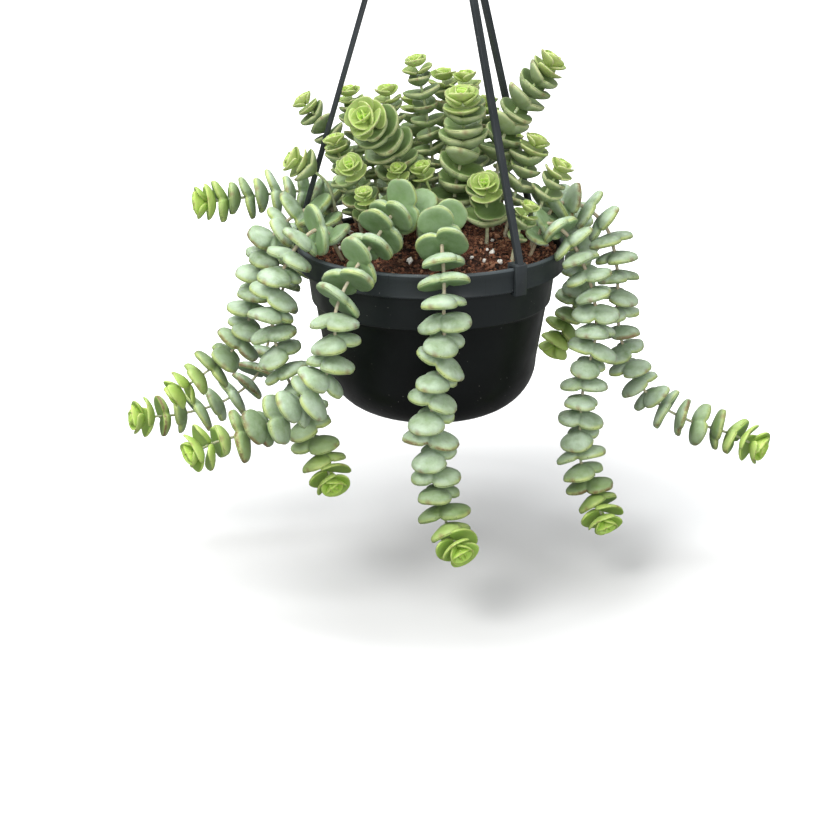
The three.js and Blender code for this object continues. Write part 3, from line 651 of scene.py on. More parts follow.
def scatter_place(chance):
    """A random place on the soil's top, in metres."""
    reach = (SOIL_REACH - 1.5) * math.sqrt(chance.random())
    angle = chance.uniform(0, math.tau)
    return on_soil(reach * math.cos(angle), reach * math.sin(angle))


def ball_shape(subdivisions):
    ball = bmesh.new()
    bmesh.ops.create_icosphere(ball, subdivisions=subdivisions, radius=1)
    return shape_of(ball)


def add_rough_ball(target, ball, place, radius, chance):
    """Adds one irregular crumb or grain: the ball squashed, turned and made lumpy."""
    points, faces = ball
    squash = Matrix.Diagonal((chance.uniform(0.6, 1.2), chance.uniform(0.6, 1.2), chance.uniform(0.5, 0.9)))
    turn = Matrix.Rotation(chance.uniform(0, math.tau), 3, Vector((chance.random(), chance.random(), 0.4)))
    seed = Vector((chance.random(), chance.random(), chance.random())) * 50
    form = turn @ squash * radius
    rough = [place + form @ point * (1 + 0.6 * noise.noise(point * 1.1 + seed)) for point in points]
    target.add(rough, faces, tone=chance.uniform(-0.22, 0.22))


def add_strand(target, line, radius):
    """A thin three-sided strand: a triangle carried along the line."""
    side = (line[-1] - line[0]).cross(UP).normalized() * radius
    corners = [side, side * -0.5 + UP * radius * 0.87, side * -0.5 - UP * radius * 0.87]
    points = [place + corner for place in line for corner in corners]
    faces = [[0, 1, 2], [len(points) - 1, len(points) - 2, len(points) - 3]]
    for ring in range(len(line) - 1):
        for corner in range(3):
            here, beside = ring * 3 + corner, ring * 3 + (corner + 1) % 3
            faces.append([here, here + 3, beside + 3, beside])
    target.add(points, faces)


def add_fibre(target, chance):
    """Adds one coir fibre, bowed up and bent sideways, whose ends stay inside the pot."""
    start = scatter_place(chance) + UP * 0.6 * MM
    heading = chance.uniform(0, math.tau)
    reach = chance.uniform(2.5, 8) * MM
    bow = Vector((0, 0, chance.uniform(0.3, 1.4) * MM))
    level = Vector((math.cos(heading), math.sin(heading), 0)) * reach
    bend = level.cross(UP) * chance.uniform(-0.3, 0.3)
    points = [start - level / 2, start + bow + bend, start + level / 2]
    line = smooth_line([p if p.xy.length < (SOIL_REACH - 1) * MM else start for p in points], 3)
    add_strand(target, line, chance.uniform(0.12, 0.26) * MM)


def make_bed(coir):
    """The body of the soil, which fills the pot, with a mounded and uneven top."""
    base = POT_WALL + SOIL_BASE_GAP - POT_DEPTH / MM
    inset = POT_WALL + SOIL_GAP
    side = rounded_corner(POT_FLAT, POT_CORNER - POT_WALL - SOIL_BASE_GAP, base, 8)
    side += [(WALL_TOP - inset, -COLLAR_DEPTH - 1), (COLLAR_FOOT - inset, -COLLAR_DEPTH + 1),
             (COLLAR_TOP - inset, -BAND_DEPTH - 1.5), (SOIL_REACH, -BAND_DEPTH + 2.5)]
    top = [(SOIL_REACH * (1 - ring / SOIL_RINGS), 0) for ring in range(SOIL_RINGS + 1)]
    ground = spin_profile([(0, base)] + side + top, RIM_HEIGHT, 96)
    for vert in ground.verts:
        if vert.co.z > RIM_HEIGHT - 0.01 * MM:
            x, y = vert.co.x / MM, vert.co.y / MM
            fine = noise.fractal(Vector((x, y, 0)) * 0.35, 0.7, 2.1, 4) * 0.9
            vert.co.z = RIM_HEIGHT + (soil_top(x, y) + fine) * MM
    bed = new_piece("soil_bed", ground, [coir])
    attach(bed, "root")
    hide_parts("soil")


def make_soil(settings):
    """The soil's body, then the crumbs, fibres and white grains that lie on it."""
    make_bed(soil_material("coir", settings.dark, settings.mid, settings.light))
    chance = random.Random(settings.seed)
    crumb, grain = ball_shape(1), ball_shape(2)
    loose = Repeats("tone")
    for _ in range(settings.crumbs):
        radius = chance.uniform(0.42, 1.0) ** 2.5 * 1.5 * MM
        add_rough_ball(loose, crumb, scatter_place(chance) + UP * radius * 0.5, radius, chance)
    for _ in range(settings.fibres):
        add_fibre(loose, chance)
    # the loose pieces: the dark tone as painted shade, the lit crumb tone as painted light, and the fibres'
    # paler colour
    loose_coir = soil_material("coir_crumb", settings.dark, settings.light, settings.fibre)
    crumbs = loose.piece("soil_crumbs", [loose_coir], smooth=False)
    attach(crumbs, "root")

    white = Repeats()
    for number in range(len(FRONT_GRAINS) + settings.grains):
        place = on_soil(*FRONT_GRAINS[number]) if number < len(FRONT_GRAINS) else scatter_place(chance)
        radius = chance.uniform(1.3, 2.3) * MM
        add_rough_ball(white, grain, place + UP * radius * 0.7, radius, chance)
    grains = white.piece("soil_grains", [grain_material()])
    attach(grains, "root")


# ---------- hanger ----------

HOOK_BEND = 11.2        # radius of the hook's centre line; the inside of its bend is at height 0
HUB_TOP = 31            # the hub's top and bottom, and where the arms' middles meet it, below the bend
HUB_BOTTOM = 45
ARM_JOIN = 40
HUB_RADIUS = 7.5
ARM_JOIN_RADIUS = 4.5
ARM_AZIMUTHS = (38, 128, 265)
ARM_BORDER = 0.26       # how far the corners of the border on a broad face lie in, beside the arm's width
CLIP_WIDTH = 7
CLIP_WALL = 1.7
CLIP_GAP = 0.35         # between the clip and the rim
CLIP_UNDER = 12.35      # depth of the clip's hook under the rim's top
CLIP_LIP = 1.4          # thickness of that hook and of the clip's tongue inside the rim


def add_hook(target, wire):
    """The bent rod above the hub: up from the hub, round the bend and down to a rounded tip."""
    centre = -(HOOK_BEND - wire / MM)
    points = [(0, -HUB_TOP - 2), (0, -HUB_TOP + 2), (-HOOK_BEND * 0.55, -HUB_TOP + 7)]
    points += [(HOOK_BEND * math.cos(math.radians(angle)), centre + HOOK_BEND * math.sin(math.radians(angle)))
               for angle in range(195, -31, -25)]
    line = smooth_line([Vector((x * MM, 0, z * MM)) for x, z in points], 6)
    merge_into(target, tube_along(line, wire, [1] * (len(line) - 2) + [0.9, 0.6], 4))


def add_hub(target):
    """The turned knob that the hook and the arms grow from."""
    bottom, top = -HUB_BOTTOM, -HUB_TOP
    profile = [(0, bottom), (3.6, bottom), (4.6, bottom + 0.6), (6.9, bottom + 3.2),
               (HUB_RADIUS, bottom + 4.4), (HUB_RADIUS, top - 6), (7.1, top - 5), (6.0, top - 3.8),
               (4.6, top - 0.5), (3.9, top), (0, top)]
    merge_into(target, spin_profile(profile, 0, 48))


def add_turned(target, part, axes, origin):
    """Turns a part that lies along the X, Y and Z axes onto three others, moves it to its place, adds it."""
    place = Matrix(axes).transposed().to_4x4()
    place.translation = origin
    bmesh.ops.transform(part, matrix=place, verts=part.verts)
    merge_into(target, part)


def break_edges(part, width):
    """Rounds every edge a little, as a moulding's edges are."""
    bmesh.ops.bevel(part, geom=part.edges, offset=width * MM, segments=2, profile=0.5, affect="EDGES",
                    material=-1)


def add_arm(target, azimuth, settings):
    """A flat strip from the clip to the hub, its edges broken."""
    out = outward(azimuth)
    low = out * (RIM_RADIUS + 0.4 * MM) + UP * (RIM_HEIGHT + 1.2 * MM)
    high = out * ARM_JOIN_RADIUS * MM - UP * ARM_JOIN * MM
    axis = (high - low).normalized()
    side = UP.cross(out).normalized()
    strip = bmesh.new()
    bmesh.ops.create_cube(strip, size=1)
    bmesh.ops.scale(strip, vec=(settings.arm_width, settings.arm_thickness, (high - low).length),
                    verts=strip.verts)
    # a border round both broad faces keeps them evenly shaded up to their rounded edges
    broad = [face for face in strip.faces if abs(face.normal.y) > 0.9]
    bmesh.ops.inset_individual(strip, faces=broad, thickness=settings.arm_width * ARM_BORDER)
    break_edges(strip, 0.35)
    add_turned(target, strip, (side, axis.cross(side).normalized(), axis), (low + high) / 2)


def add_clip(target, azimuth):
    """The clip's bent strap: over the rim, down the band and hooked under its lower edge."""
    rim = RIM_RADIUS / MM
    inside = rim + CLIP_GAP
    outside = inside + CLIP_WALL
    top = CLIP_WALL + 0.4
    tongue = rim - 3.4
    outline = [(outside, -CLIP_UNDER - CLIP_LIP), (outside, top - 1), (outside - 1, top),
               (tongue - CLIP_LIP, top), (tongue - CLIP_LIP, -3), (tongue, -3), (tongue, CLIP_GAP),
               (inside, CLIP_GAP), (inside, -CLIP_UNDER), (rim - 2.4, -CLIP_UNDER),
               (rim - 1.6, -CLIP_UNDER - CLIP_LIP)]
    clip = bmesh.new()
    verts = [clip.verts.new((radius * MM, -CLIP_WIDTH / 2 * MM, height * MM)) for radius, height in outline]
    grown = bmesh.ops.extrude_face_region(clip, geom=[clip.faces.new(verts)])
    moved = [item for item in grown["geom"] if isinstance(item, bmesh.types.BMVert)]
    bmesh.ops.translate(clip, verts=moved, vec=(0, CLIP_WIDTH * MM, 0))
    bmesh.ops.recalc_face_normals(clip, faces=clip.faces)
    break_edges(clip, 0.3)
    out = outward(azimuth)
    add_turned(target, clip, (out, UP.cross(out), UP), UP * RIM_HEIGHT)


def make_hanger(settings):
    """The clip-on hanger as one moulding: hook, hub, and an arm and a clip at each azimuth."""
    moulding = bmesh.new()
    add_hook(moulding, settings.wire)
    add_hub(moulding)
    for azimuth in ARM_AZIMUTHS:
        add_arm(moulding, azimuth, settings)
        add_clip(moulding, azimuth)
    plastic = plastic_material("hanger_charcoal", settings.colour, settings.scuff_colour, 0.4)
    hanger = new_piece("hanger_moulding", moulding, [plastic])
    hanger.data.set_sharp_from_angle(angle=math.radians(35))
    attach(hanger, "root")
    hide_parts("hanger")


# ---------- leaf shapes ----------

PAIR_ROUND = 40         # points round a leaf pair, and rings from face to face
PAIR_RINGS = 14
YOUNG_ROUND = 24
YOUNG_RINGS = 10
TRAILING_OUTLINE = (0.16, 0.4, 0.05)     # waist, cleft and taper of a leaf pair
SHOOT_OUTLINE = (0.08, 0.3, 0.16)


def bump_at(value, place, width):
    """A smooth hump of height 1 at a place, about as wide as width."""
    return math.exp(-((value - place) / width) ** 2)


def leaf_blank(points_round, rings, crowding):
    """A ball drawn out into a blunt disc, as (x, y, rise, reach) at each point, and its faces.

    rise runs from -1 on the face towards the root to 1 on the face towards the tip. crowding gathers points
    where x is 0.
    """
    ball = bmesh.new()
    bmesh.ops.create_uvsphere(ball, u_segments=points_round, v_segments=rings, radius=1)
    points, faces = shape_of(ball)
    spots = []
    for point in points:
        heading = math.atan2(point.y, point.x)
        heading += crowding * math.sin(2 * heading)
        reach = min(1, point.xy.length) ** 0.8
        blunt = (abs(math.cos(heading)) ** 2.5 + abs(math.sin(heading)) ** 2.5) ** -0.4
        rise = math.copysign(abs(point.z) ** 0.62, point.z)
        spots.append((reach * blunt * math.cos(heading), reach * blunt * math.sin(heading), rise, reach))
    return spots, faces


def end_mark(along, across, width):
    """1 at the tip of a leaf, falling to 0 a little way from it."""
    return max(0, (along - 0.95) / 0.05) * max(0, 1 - abs(across) / width)


def leaf_pair_shape(waist, cleft, taper):
    """One joined leaf pair: x along the pair, y across, z towards the stem's tip, all about 1.

    Two plump lobes meet in a cleft. The face towards the tip is a little hollow round the stem and the other
    one is full.
    """
    spots, faces = leaf_blank(PAIR_ROUND, PAIR_RINGS, 0.25)
    points, sides, ends = [], [], []
    for x, y, rise, reach in spots:
        joint = bump_at(x, 0, 0.09)
        narrow = 1 - waist * bump_at(x, 0, 0.34) - 0.55 * cleft * joint * reach ** 3
        narrow *= 1 - taper * abs(x) ** 2.5
        if rise > 0:
            z = 0.08 + rise * (0.17 + 0.17 * reach ** 2) * (1 - cleft * joint * reach)
        else:
            z = 0.08 + rise * (0.52 - 0.07 * reach ** 2) * (1 - 0.8 * cleft * joint * reach)
        points.append(Vector((x, y * narrow, z)))
        sides.append(rise)
        ends.append(end_mark(abs(x), y, 0.2))
    return points, faces, sides, ends


def young_leaf_shape():
    """One leaf of a tip rosette: x out from the stem, y across, z towards the tip, its rim turned up."""
    spots, faces = leaf_blank(YOUNG_ROUND, YOUNG_RINGS, 0)
    points, sides, ends = [], [], []
    for along, y, rise, _ in spots:
        x = 0.5 + 0.5 * along
        width = 0.56 + 0.26 * math.sin(math.pi * min(1, x))
        thick = 0.09 if rise > 0 else 0.18
        z = rise * thick * (1 - 0.35 * x) + 0.20 * x ** 2 + 0.16 * (y * width / 0.7) ** 2
        points.append(Vector((x, y * width, z)))
        sides.append(rise)
        ends.append(end_mark(x, y, 0.35))
    return points, faces, sides, ends


# ---------- leafy stems ----------

LOWEST_PAIR = 10        # no leaves stand on a stem closer to its root than this
# stems whose feet stand so close to a neighbour that low leaves would run into it
BARE_FEET = ("shoot_i", "shoot_j", "shoot_o", "shoot_r", "trail_front")
LEAN = 0.13             # how far a pair leans along itself and across itself, in radians
NOD = 0.08
SHOOT_FULLNESS = 1.1    # the shoots' grown pairs are this much fuller than their solids' corners
OLD_PAIR = 9            # number from the tip that the low pairs count as
GROWN_AGE = 0.8         # age of the outermost leaves of a rosette: 0 is the oldest leaf, 1 the bud
AGEING = 6              # number of pairs in which the age falls by 1
DRY_SHARE = 0.05        # share of the pairs that have dry patches
# leaves of the rosette inside the last two pairs: reach beside the last pair's, tilt in degrees, and height
# above the last pair in shares of its reach
ROSETTE = ((0.84, 36, 0.12), (0.66, 49, 0.22), (0.47, 61, 0.31), (0.30, 74, 0.38))
QUARTER_TURN = 1.45     # from one pair of a rosette to the next, in radians

# a leaf pair: its place along the route and in space, its axes, half its length, half its width, its
# thickness, how much it folds, and its number from the tip
LeafPair = namedtuple("LeafPair", "place point direction across half width thick cup from_tip")


def trace_route(stem):
    """The stem's route as a dense line in millimetres, with the length reached at each point."""
    root = Vector((*stem.root, soil_top(*stem.root) + 1))
    line = smooth_line([root] + [Vector(point) for point in stem.route], ROUTE_STEPS)
    reached = [0]
    for before, after in zip(line, line[1:]):
        reached.append(reached[-1] + (after - before).length)
    return line, reached


def on_route(line, reached, length):
    """The point on the traced route at a length, and the direction there."""
    index = 1
    while index < len(line) - 1 and reached[index] < length:
        index += 1
    share = (length - reached[index - 1]) / (reached[index] - reached[index - 1])
    return line[index - 1].lerp(line[index], share), (line[index] - line[index - 1]).normalized()


def place_pairs(stem, length):
    """(place on the route, number from the tip) of each pair, root first; the pairs crowd at the tip."""
    step = SHOOT_PITCH if stem.pitch is None else LEAF_PITCH * stem.size * stem.pitch
    pairs = []
    place = length - 2.2
    while place > stem.bare:
        pairs.insert(0, (place, len(pairs)))
        place -= step * min(1, 0.3 + 0.2 * len(pairs))
    return pairs


def grown_pairs(stem, line, reached, seed):
    """The place, axes and sizes of every leaf pair, drawn in the same order as the solids' ones."""
    draws = seeded_random(seed)

    def vary(amount):
        return 1 + amount * (next(draws) * 2 - 1)

    places = place_pairs(stem, reached[-1])
    heading = math.radians(stem.turn)
    side = Vector((math.cos(heading), math.sin(heading), 0))
    # the heading is carried up the bare foot in steps of about 8 mm
    first = places[0][0]
    steps = max(1, math.floor(first / 8 + 0.5))
    for step in range(1, steps):
        side = square_to(side, on_route(line, reached, first * step / steps)[1])
    pairs = []
    for index, (place, from_tip) in enumerate(places):
        point, direction = on_route(line, reached, place)
        side = square_to(side, direction)
        grown = min(1, 0.8 + 0.07 * from_tip) * stem.size
        half = LEAF_LENGTH / 2 * grown * vary(0.08)
        width = LEAF_WIDTH / 2 * grown * vary(0.06)
        thick = LEAF_THICKNESS * grown * vary(0.06)
        quarter = 0 if index % 2 == 0 else math.pi / 2
        across = Matrix.Rotation(quarter + 0.16 * (next(draws) * 2 - 1), 3, direction) @ side
        cup = stem.cup * vary(0.25) + 0.3 * max(0, 1 - from_tip / 3)
        pairs.append(LeafPair(place, point, direction, across, half, width, thick, cup, from_tip))
    return pairs


def low_pairs(stem, first, line, reached, chance):
    """The smaller, older pairs on the shaded foot of a stem, below the first of the others."""
    pairs = []
    place = first.place - SHOOT_PITCH
    turn = math.pi / 2
    while place > LOWEST_PAIR and stem.name not in BARE_FEET:
        point, direction = on_route(line, reached, place)
        twist = Matrix.Rotation(turn + chance.uniform(-0.3, 0.3), 3, direction)
        across = twist @ square_to(first.across, direction)
        size = chance.uniform(0.8, 1.0)
        pairs.append(LeafPair(place, point, direction, across, first.half * size, first.width * size,
                              first.thick * size, first.cup * 0.6, OLD_PAIR))
        place -= SHOOT_PITCH
        turn += math.pi / 2
    return pairs


def leaned(pair, chance):
    """The same pair with one leaf a little higher than the other."""
    other = pair.direction.cross(pair.across)
    lean = Matrix.Rotation(chance.gauss(0, LEAN), 3, other)
    lean @= Matrix.Rotation(chance.gauss(0, NOD), 3, pair.across)
    return pair._replace(direction=lean @ pair.direction, across=lean @ pair.across)


def push_clear(point):
    """Keeps a leaf's point, in millimetres, above the soil and the rim and outside the pot's wall."""
    reach = math.hypot(point.x, point.y)
    wall = RIM_RADIUS / MM + KEEP_CLEAR
    if reach >= wall or point.z < -POT_DEPTH / MM:
        return
    floor = max(0 if reach > SOIL_REACH - 6 else -SOIL_EDGE_DEPTH, soil_top(point.x, point.y)) + KEEP_CLEAR
    if point.z >= floor:
        return
    if wall - reach < floor - point.z:
        point.x *= wall / reach
        point.y *= wall / reach
    else:
        point.z = floor


def add_leaf(target, shape, settle, age, tone, dry=0.0):
    """Adds a leaf or pair, each point of its shape settled on the stem and kept clear of pot and soil."""
    points, faces, sides, ends = shape
    placed = []
    for point in points:
        settled = settle(point)
        push_clear(settled)
        placed.append(from_rim(settled))
    target.add(placed, faces, age=age, tone=tone, side=sides, apex=ends, dry=dry)


def add_pair(target, shape, pair, age, tone, dry, wobble):
    """Sets one leaf pair on the stem, cupped and a little uneven."""
    other = pair.direction.cross(pair.across)
    flat = pair.width / pair.half

    def settle(co):
        x, y, z = co
        uneven = 1 + 0.09 * noise.noise(co * 1.3 + wobble)
        fold = 1.3 * (math.sqrt(x * x + (y * flat) ** 2 + 0.09) - 0.3)
        droop = 0.05 * math.sin(x * 2.2 + wobble.x) * abs(x)
        return (pair.point + pair.across * (x * pair.half * uneven) + other * (y * pair.width * uneven)
                + pair.direction * (z * pair.thick * uneven + (pair.cup * fold + droop) * pair.half))

    add_leaf(target, shape, settle, age, tone, dry)


def add_young_leaf(target, shape, pair, base, turn, tilt, reach, age, tone):
    """Sets one leaf of a rosette at base, turned round the stem and tilted up towards the tip."""
    out = Matrix.Rotation(turn, 3, pair.direction) @ pair.across
    other = pair.direction.cross(out)

    def settle(co):
        x, y, z = co
        level = x * math.cos(tilt) - z * math.sin(tilt)
        rise = x * math.sin(tilt) + z * math.cos(tilt)
        return base + (out * level + other * y + pair.direction * rise) * reach

    add_leaf(target, shape, settle, age, tone)


def add_rosette(target, shape, outer, inner, chance):
    """The tip: the last two pairs as single leaves that stand up round the bud, and the bud inside them."""
    for pair, tilt in ((outer, 8), (inner, 22)):
        for half_turn in (0, math.pi):
            tilted = math.radians(tilt + chance.uniform(-4, 4))
            add_young_leaf(target, shape, pair, pair.point, half_turn, tilted, pair.half * 1.04, GROWN_AGE,
                           chance.random() * 0.5)
    for level, (share, tilt, height) in enumerate(ROSETTE, 1):
        base = inner.point + inner.direction * height * inner.half
        age = GROWN_AGE + (1 - GROWN_AGE) * level / len(ROSETTE)
        for half_turn in (0, math.pi):
            add_young_leaf(target, shape, inner, base, level * QUARTER_TURN + half_turn, math.radians(tilt),
                           inner.half * share, age, 0.0)


def add_stalk(target, line, reached):
    """The tube inside the leaves, from below the soil up to the rosette, thinner and younger upwards."""
    foot = Vector((line[0].x, line[0].y, -ROOT_DEPTH))
    route = [foot] + line[:-3:2]
    shares = [0.95 - 0.35 * index / len(route) for index in range(len(route))]
    points, faces = shape_of(tube_along([from_rim(point) for point in route], STEM_RADIUS * MM, shares))
    lowest, whole = from_rim(foot), reached[-1] * MM
    ages = [min(1, (point - lowest).length / whole * 0.8) for point in points]
    target.add(points, faces, 1, age=ages)


def make_stem(stem, seed, pair_shape, young_shape, materials):
    """One leafy stem: its leaf pairs, the rosette at the tip and the tube inside them."""
    line, reached = trace_route(stem)
    pairs = grown_pairs(stem, line, reached, seed)
    chance = random.Random(seed)
    trailing = stem.pitch is not None
    youngest, oldest = (1.0, 0.0) if trailing else (GROWN_AGE, 0.45)
    body = Repeats("age", "tone", "side", "apex", "dry")
    for pair in low_pairs(stem, pairs[0], line, reached, chance) + pairs[:-2]:
        age = max(oldest, min(GROWN_AGE, youngest - pair.from_tip / AGEING))
        dry = 1.0 if chance.random() < DRY_SHARE else 0.0
        wobble = Vector((chance.random(), chance.random(), 0)) * 9
        if not trailing and pair.from_tip > 2:
            pair = pair._replace(half=pair.half * SHOOT_FULLNESS, width=pair.width * SHOOT_FULLNESS)
        add_pair(body, pair_shape, leaned(pair, chance), age, chance.random() ** 1.6, dry, wobble)
    add_rosette(body, young_shape, pairs[-2], pairs[-1], chance)
    add_stalk(body, line, reached)
    piece = body.piece(stem.name + "_leaves", materials)
    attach(piece, "root")
    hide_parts(stem.name)


def make_stems(stems, first_seed, outline, colours, slot):
    """Stems of one kind, each with a seed of its own."""
    materials = [leaf_material(slot + "_skin", colours), stem_material()]
    pair_shape, young_shape = leaf_pair_shape(*outline), young_leaf_shape()
    for seed, stem in enumerate(stems, first_seed):
        make_stem(stem, seed, pair_shape, young_shape, materials)


# ---------- stage ----------

CAMERA_PLACE = (0, -776.2, 193.5)      # millimetres from the rim's middle
CAMERA_PITCH = 20.713                  # degrees below level
CAMERA_YAW = -0.429
CAMERA_LENS = 65.55
SENSOR_WIDTH = 36


def make_camera():
    data = bpy.data.cameras.new("camera")
    data.lens = CAMERA_LENS
    data.sensor_width = SENSOR_WIDTH
    data.clip_end = 60
    camera = new_object("camera", data)
    camera.location = from_rim(Vector(CAMERA_PLACE))
    camera.rotation_euler = (math.radians(90 - CAMERA_PITCH), 0, math.radians(-CAMERA_YAW))
    bpy.context.scene.camera = camera


def add_softbox(name, place, size, power, colour):
    """A large soft light, aimed at the rim's middle; its place is counted from there, in metres."""
    data = bpy.data.lights.new(name, "AREA")
    data.shape = "DISK"
    data.size = size
    data.energy = power
    data.color = colour
    light = new_object(name, data)
    light.location = Vector(place) + UP * RIM_HEIGHT
    light.rotation_euler = (-Vector(place)).to_track_quat("-Z", "Y").to_euler()


def make_stage(settings):
    sheet = bmesh.new()
    level = CAD_BOX[0][2] - settings.floor_drop
    bmesh.ops.create_grid(sheet, x_segments=8, y_segments=8, size=12,
                          matrix=Matrix.Translation((0, 0, level)))
    floor = new_piece("studio_floor", sheet, [floor_material(settings.bounce)])

    bpy.context.scene.world = studio_world(settings)
    add_softbox("key_light", (-0.8, -0.6, 1.3), 1.0, settings.key_power, (1, 0.99, 0.97))
    add_softbox("top_light", (-0.3, 0.5, 1.5), 0.8, settings.top_power, (0.97, 0.99, 1))
    add_softbox("front_light", (0.3, -1.3, 0.4), 1.0, settings.front_power, (1, 1, 1))
    bpy.context.scene.view_settings.view_transform = "Standard"
    make_camera()


# ---------- properties ----------

def length_property(name, description, default):
    return bpy.props.FloatProperty(name=name, description=description, default=default, min=0.0,
                                   unit="LENGTH")


def number_property(name, description, default):
    return bpy.props.FloatProperty(name=name, description=description, default=default)


def integer_property(name, description, default, least=0):
    return bpy.props.IntProperty(name=name, description=description, default=default, min=least)


def colour_property(name, description, default):
    return bpy.props.FloatVectorProperty(name=name, description=description, default=default, size=4,
                                         subtype="COLOR", min=0.0, max=1.0)


class PotSizes(bpy.types.PropertyGroup):
    """Sizes and colours of the pot."""
    rim_radius: length_property("Rim radius", "Outer radius of the rim band", RIM_RADIUS)
    band_depth: length_property("Band depth", "Height of the rim band", BAND_DEPTH * MM)
    collar_depth: length_property("Collar depth", "Where the stepped collar ends below the rim",
                                  COLLAR_DEPTH * MM)
    wall: length_property("Wall", "Thickness of the pot's wall", POT_WALL * MM)
    drain_holes: integer_property("Drain holes", "Holes in the base", 6, 1)
    colour: colour_property("Colour", "Colour of the black plastic", linear(5, 8, 8))
    scuff_colour: colour_property("Scuffs", "Colour of the plastic where it is rubbed", linear(20, 25, 26))


class SoilSettings(bpy.types.PropertyGroup):
    """What lies on the soil, and its colours."""
    crumbs: integer_property("Crumbs", "Loose crumbs on the surface", 5200)
    fibres: integer_property("Fibres", "Coir fibres on the surface", 900)
    grains: integer_property("Grains", "White grains spread at random", 18)
    seed: integer_property("Seed", "Start of the random spread", 11)
    # dark is painted shade between the crumbs; mid and light are crumbs painted in shade and in light
    dark: colour_property("Dark", "Soil between the crumbs", linear(28, 15, 10))
    mid: colour_property("Middle", "Crumbs in shade", linear(88, 52, 36))
    light: colour_property("Light", "Crumbs in light", linear(148, 96, 70))
    fibre: colour_property("Fibre", "Dry fibres", linear(196, 152, 120))


class HangerSizes(bpy.types.PropertyGroup):
    """Sizes and colours of the clip-on hanger."""
    arm_width: length_property("Arm width", "Width of each arm", 3.6 * MM)
    arm_thickness: length_property("Arm thickness", "Thickness of each arm", 2.6 * MM)
    wire: length_property("Hook radius", "Radius of the hook's rod", 2.2 * MM)
    colour: colour_property("Colour", "Colour of the charcoal plastic", linear(44, 49, 52))
    scuff_colour: colour_property("Scuffs", "Colour of the plastic where it is rubbed", linear(78, 84, 88))


class TrailColours(bpy.types.PropertyGroup):
    """Leaf colours of the trailing stems."""
    old: colour_property("Old leaves", "Waxy mint of the old leaves", linear(150, 174, 134))
    mid: colour_property("Middle leaves", "Green of the middle leaves", linear(146, 170, 112))
    young: colour_property("Young leaves", "Yellow-green towards the tip", linear(200, 226, 122))
    margin: colour_property("Margin", "Edge of the leaves", linear(192, 206, 124))


class ShootColours(bpy.types.PropertyGroup):
    """Leaf colours of the upright shoots."""
    old: colour_property("Old leaves", "Green of the low leaves", linear(116, 134, 96))
    mid: colour_property("Middle leaves", "Green of the middle leaves", linear(148, 166, 110))
    young: colour_property("Young leaves", "Yellow-green towards the tip", linear(198, 212, 138))
    margin: colour_property("Margin", "Edge of the leaves", linear(216, 220, 166))


class StageSettings(bpy.types.PropertyGroup):
    """Floor and light."""
    floor_drop: length_property("Floor drop", "How far the floor lies under the lowest leaf", 24 * MM)
    sky_strength: number_property("Sky", "Light from straight above", 0.85)
    horizon: number_property("Horizon", "Light from below the horizon", 0.08)
    bounce: number_property("Bounce", "How much light the floor throws back", 0.25)
    key_power: number_property("Key", "Power of the key light", 18.0)
    top_power: number_property("Top", "Power of the light from above", 13.0)
    front_power: number_property("Front", "Power of the light beside the camera", 9.0)


# ---------- operators and panel ----------

class CRASSULA_OT_pot(bpy.types.Operator):
    """Build the pot"""
    bl_idname = "crassula.pot"
    bl_label = "Pot"

    def execute(self, context):
        make_pot(context.scene.crassula_pot)
        return {"FINISHED"}


class CRASSULA_OT_soil(bpy.types.Operator):
    """Build the soil with its crumbs, fibres and grains"""
    bl_idname = "crassula.soil"
    bl_label = "Soil"

    def execute(self, context):
        make_soil(context.scene.crassula_soil)
        return {"FINISHED"}


class CRASSULA_OT_hanger(bpy.types.Operator):
    """Build the hanger with its hook, arms and clips"""
    bl_idname = "crassula.hanger"
    bl_label = "Hanger"

    def execute(self, context):
        make_hanger(context.scene.crassula_hanger)
        return {"FINISHED"}


class CRASSULA_OT_trailing_stems(bpy.types.Operator):
    """Build the stems that trail over the rim"""
    bl_idname = "crassula.trailing_stems"
    bl_label = "Trailing stems"

    def execute(self, context):
        make_stems(TRAILING, 1, TRAILING_OUTLINE, context.scene.crassula_trail_colours, "trailing_leaf")
        return {"FINISHED"}


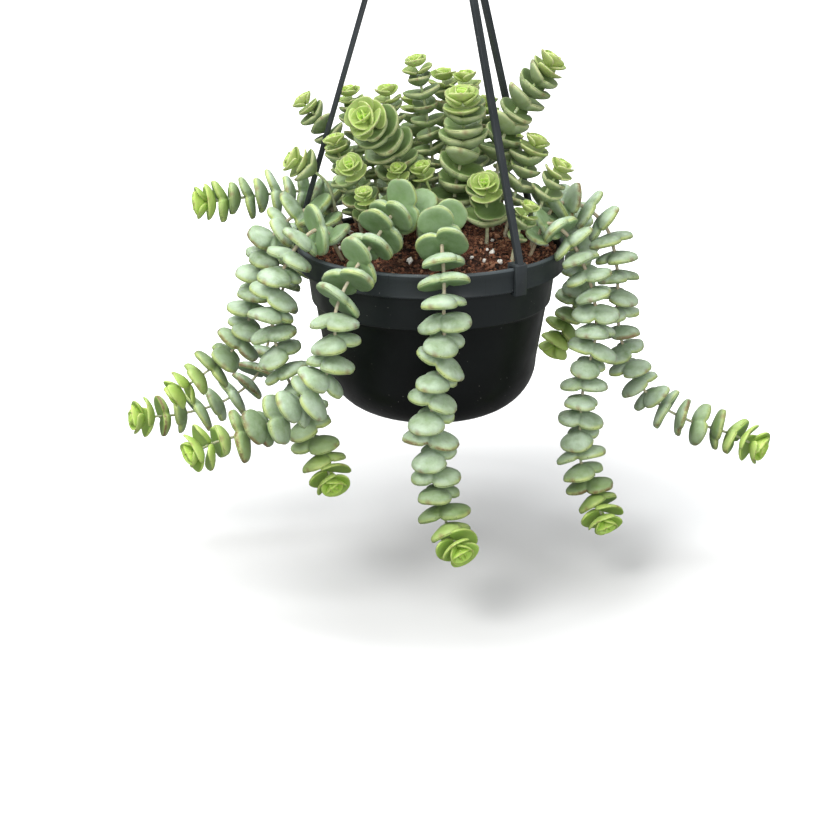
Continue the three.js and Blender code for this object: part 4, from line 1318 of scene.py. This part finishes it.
class CRASSULA_OT_shoots(bpy.types.Operator):
    """Build the upright shoots"""
    bl_idname = "crassula.shoots"
    bl_label = "Upright shoots"

    def execute(self, context):
        make_stems(SHOOTS, len(TRAILING) + 1, SHOOT_OUTLINE, context.scene.crassula_shoot_colours,
                   "young_leaf")
        return {"FINISHED"}


class CRASSULA_OT_stage(bpy.types.Operator):
    """Set up the floor, the lights and the camera"""
    bl_idname = "crassula.stage"
    bl_label = "Stage"

    def execute(self, context):
        make_stage(context.scene.crassula_stage)
        return {"FINISHED"}


class CRASSULA_PT_panel(bpy.types.Panel):
    """Lists the pieces of the potted crassula"""
    bl_label = "Potted crassula"
    bl_idname = "CRASSULA_PT_panel"
    bl_space_type = "VIEW_3D"
    bl_region_type = "UI"
    bl_category = "Crassula"

    def draw(self, context):
        for operator in OPERATORS:
            self.layout.operator(operator.bl_idname)


GROUPS = {"crassula_pot": PotSizes, "crassula_soil": SoilSettings, "crassula_hanger": HangerSizes,
          "crassula_trail_colours": TrailColours, "crassula_shoot_colours": ShootColours,
          "crassula_stage": StageSettings}
OPERATORS = (CRASSULA_OT_pot, CRASSULA_OT_soil, CRASSULA_OT_hanger, CRASSULA_OT_trailing_stems,
             CRASSULA_OT_shoots, CRASSULA_OT_stage)


def register():
    for group in GROUPS.values():
        bpy.utils.register_class(group)
    for name, group in GROUPS.items():
        setattr(bpy.types.Scene, name, bpy.props.PointerProperty(type=group))
    for operator in OPERATORS:
        bpy.utils.register_class(operator)
    bpy.utils.register_class(CRASSULA_PT_panel)


def unregister():
    bpy.utils.unregister_class(CRASSULA_PT_panel)
    for operator in reversed(OPERATORS):
        bpy.utils.unregister_class(operator)
    for name, group in reversed(GROUPS.items()):
        delattr(bpy.types.Scene, name)
        bpy.utils.unregister_class(group)


def main():
    register()
    bpy.ops.crassula.stage()
    bpy.ops.crassula.pot()
    bpy.ops.crassula.soil()
    bpy.ops.crassula.hanger()
    bpy.ops.crassula.trailing_stems()
    bpy.ops.crassula.shoots()


if __name__ == "__main__":
    main()
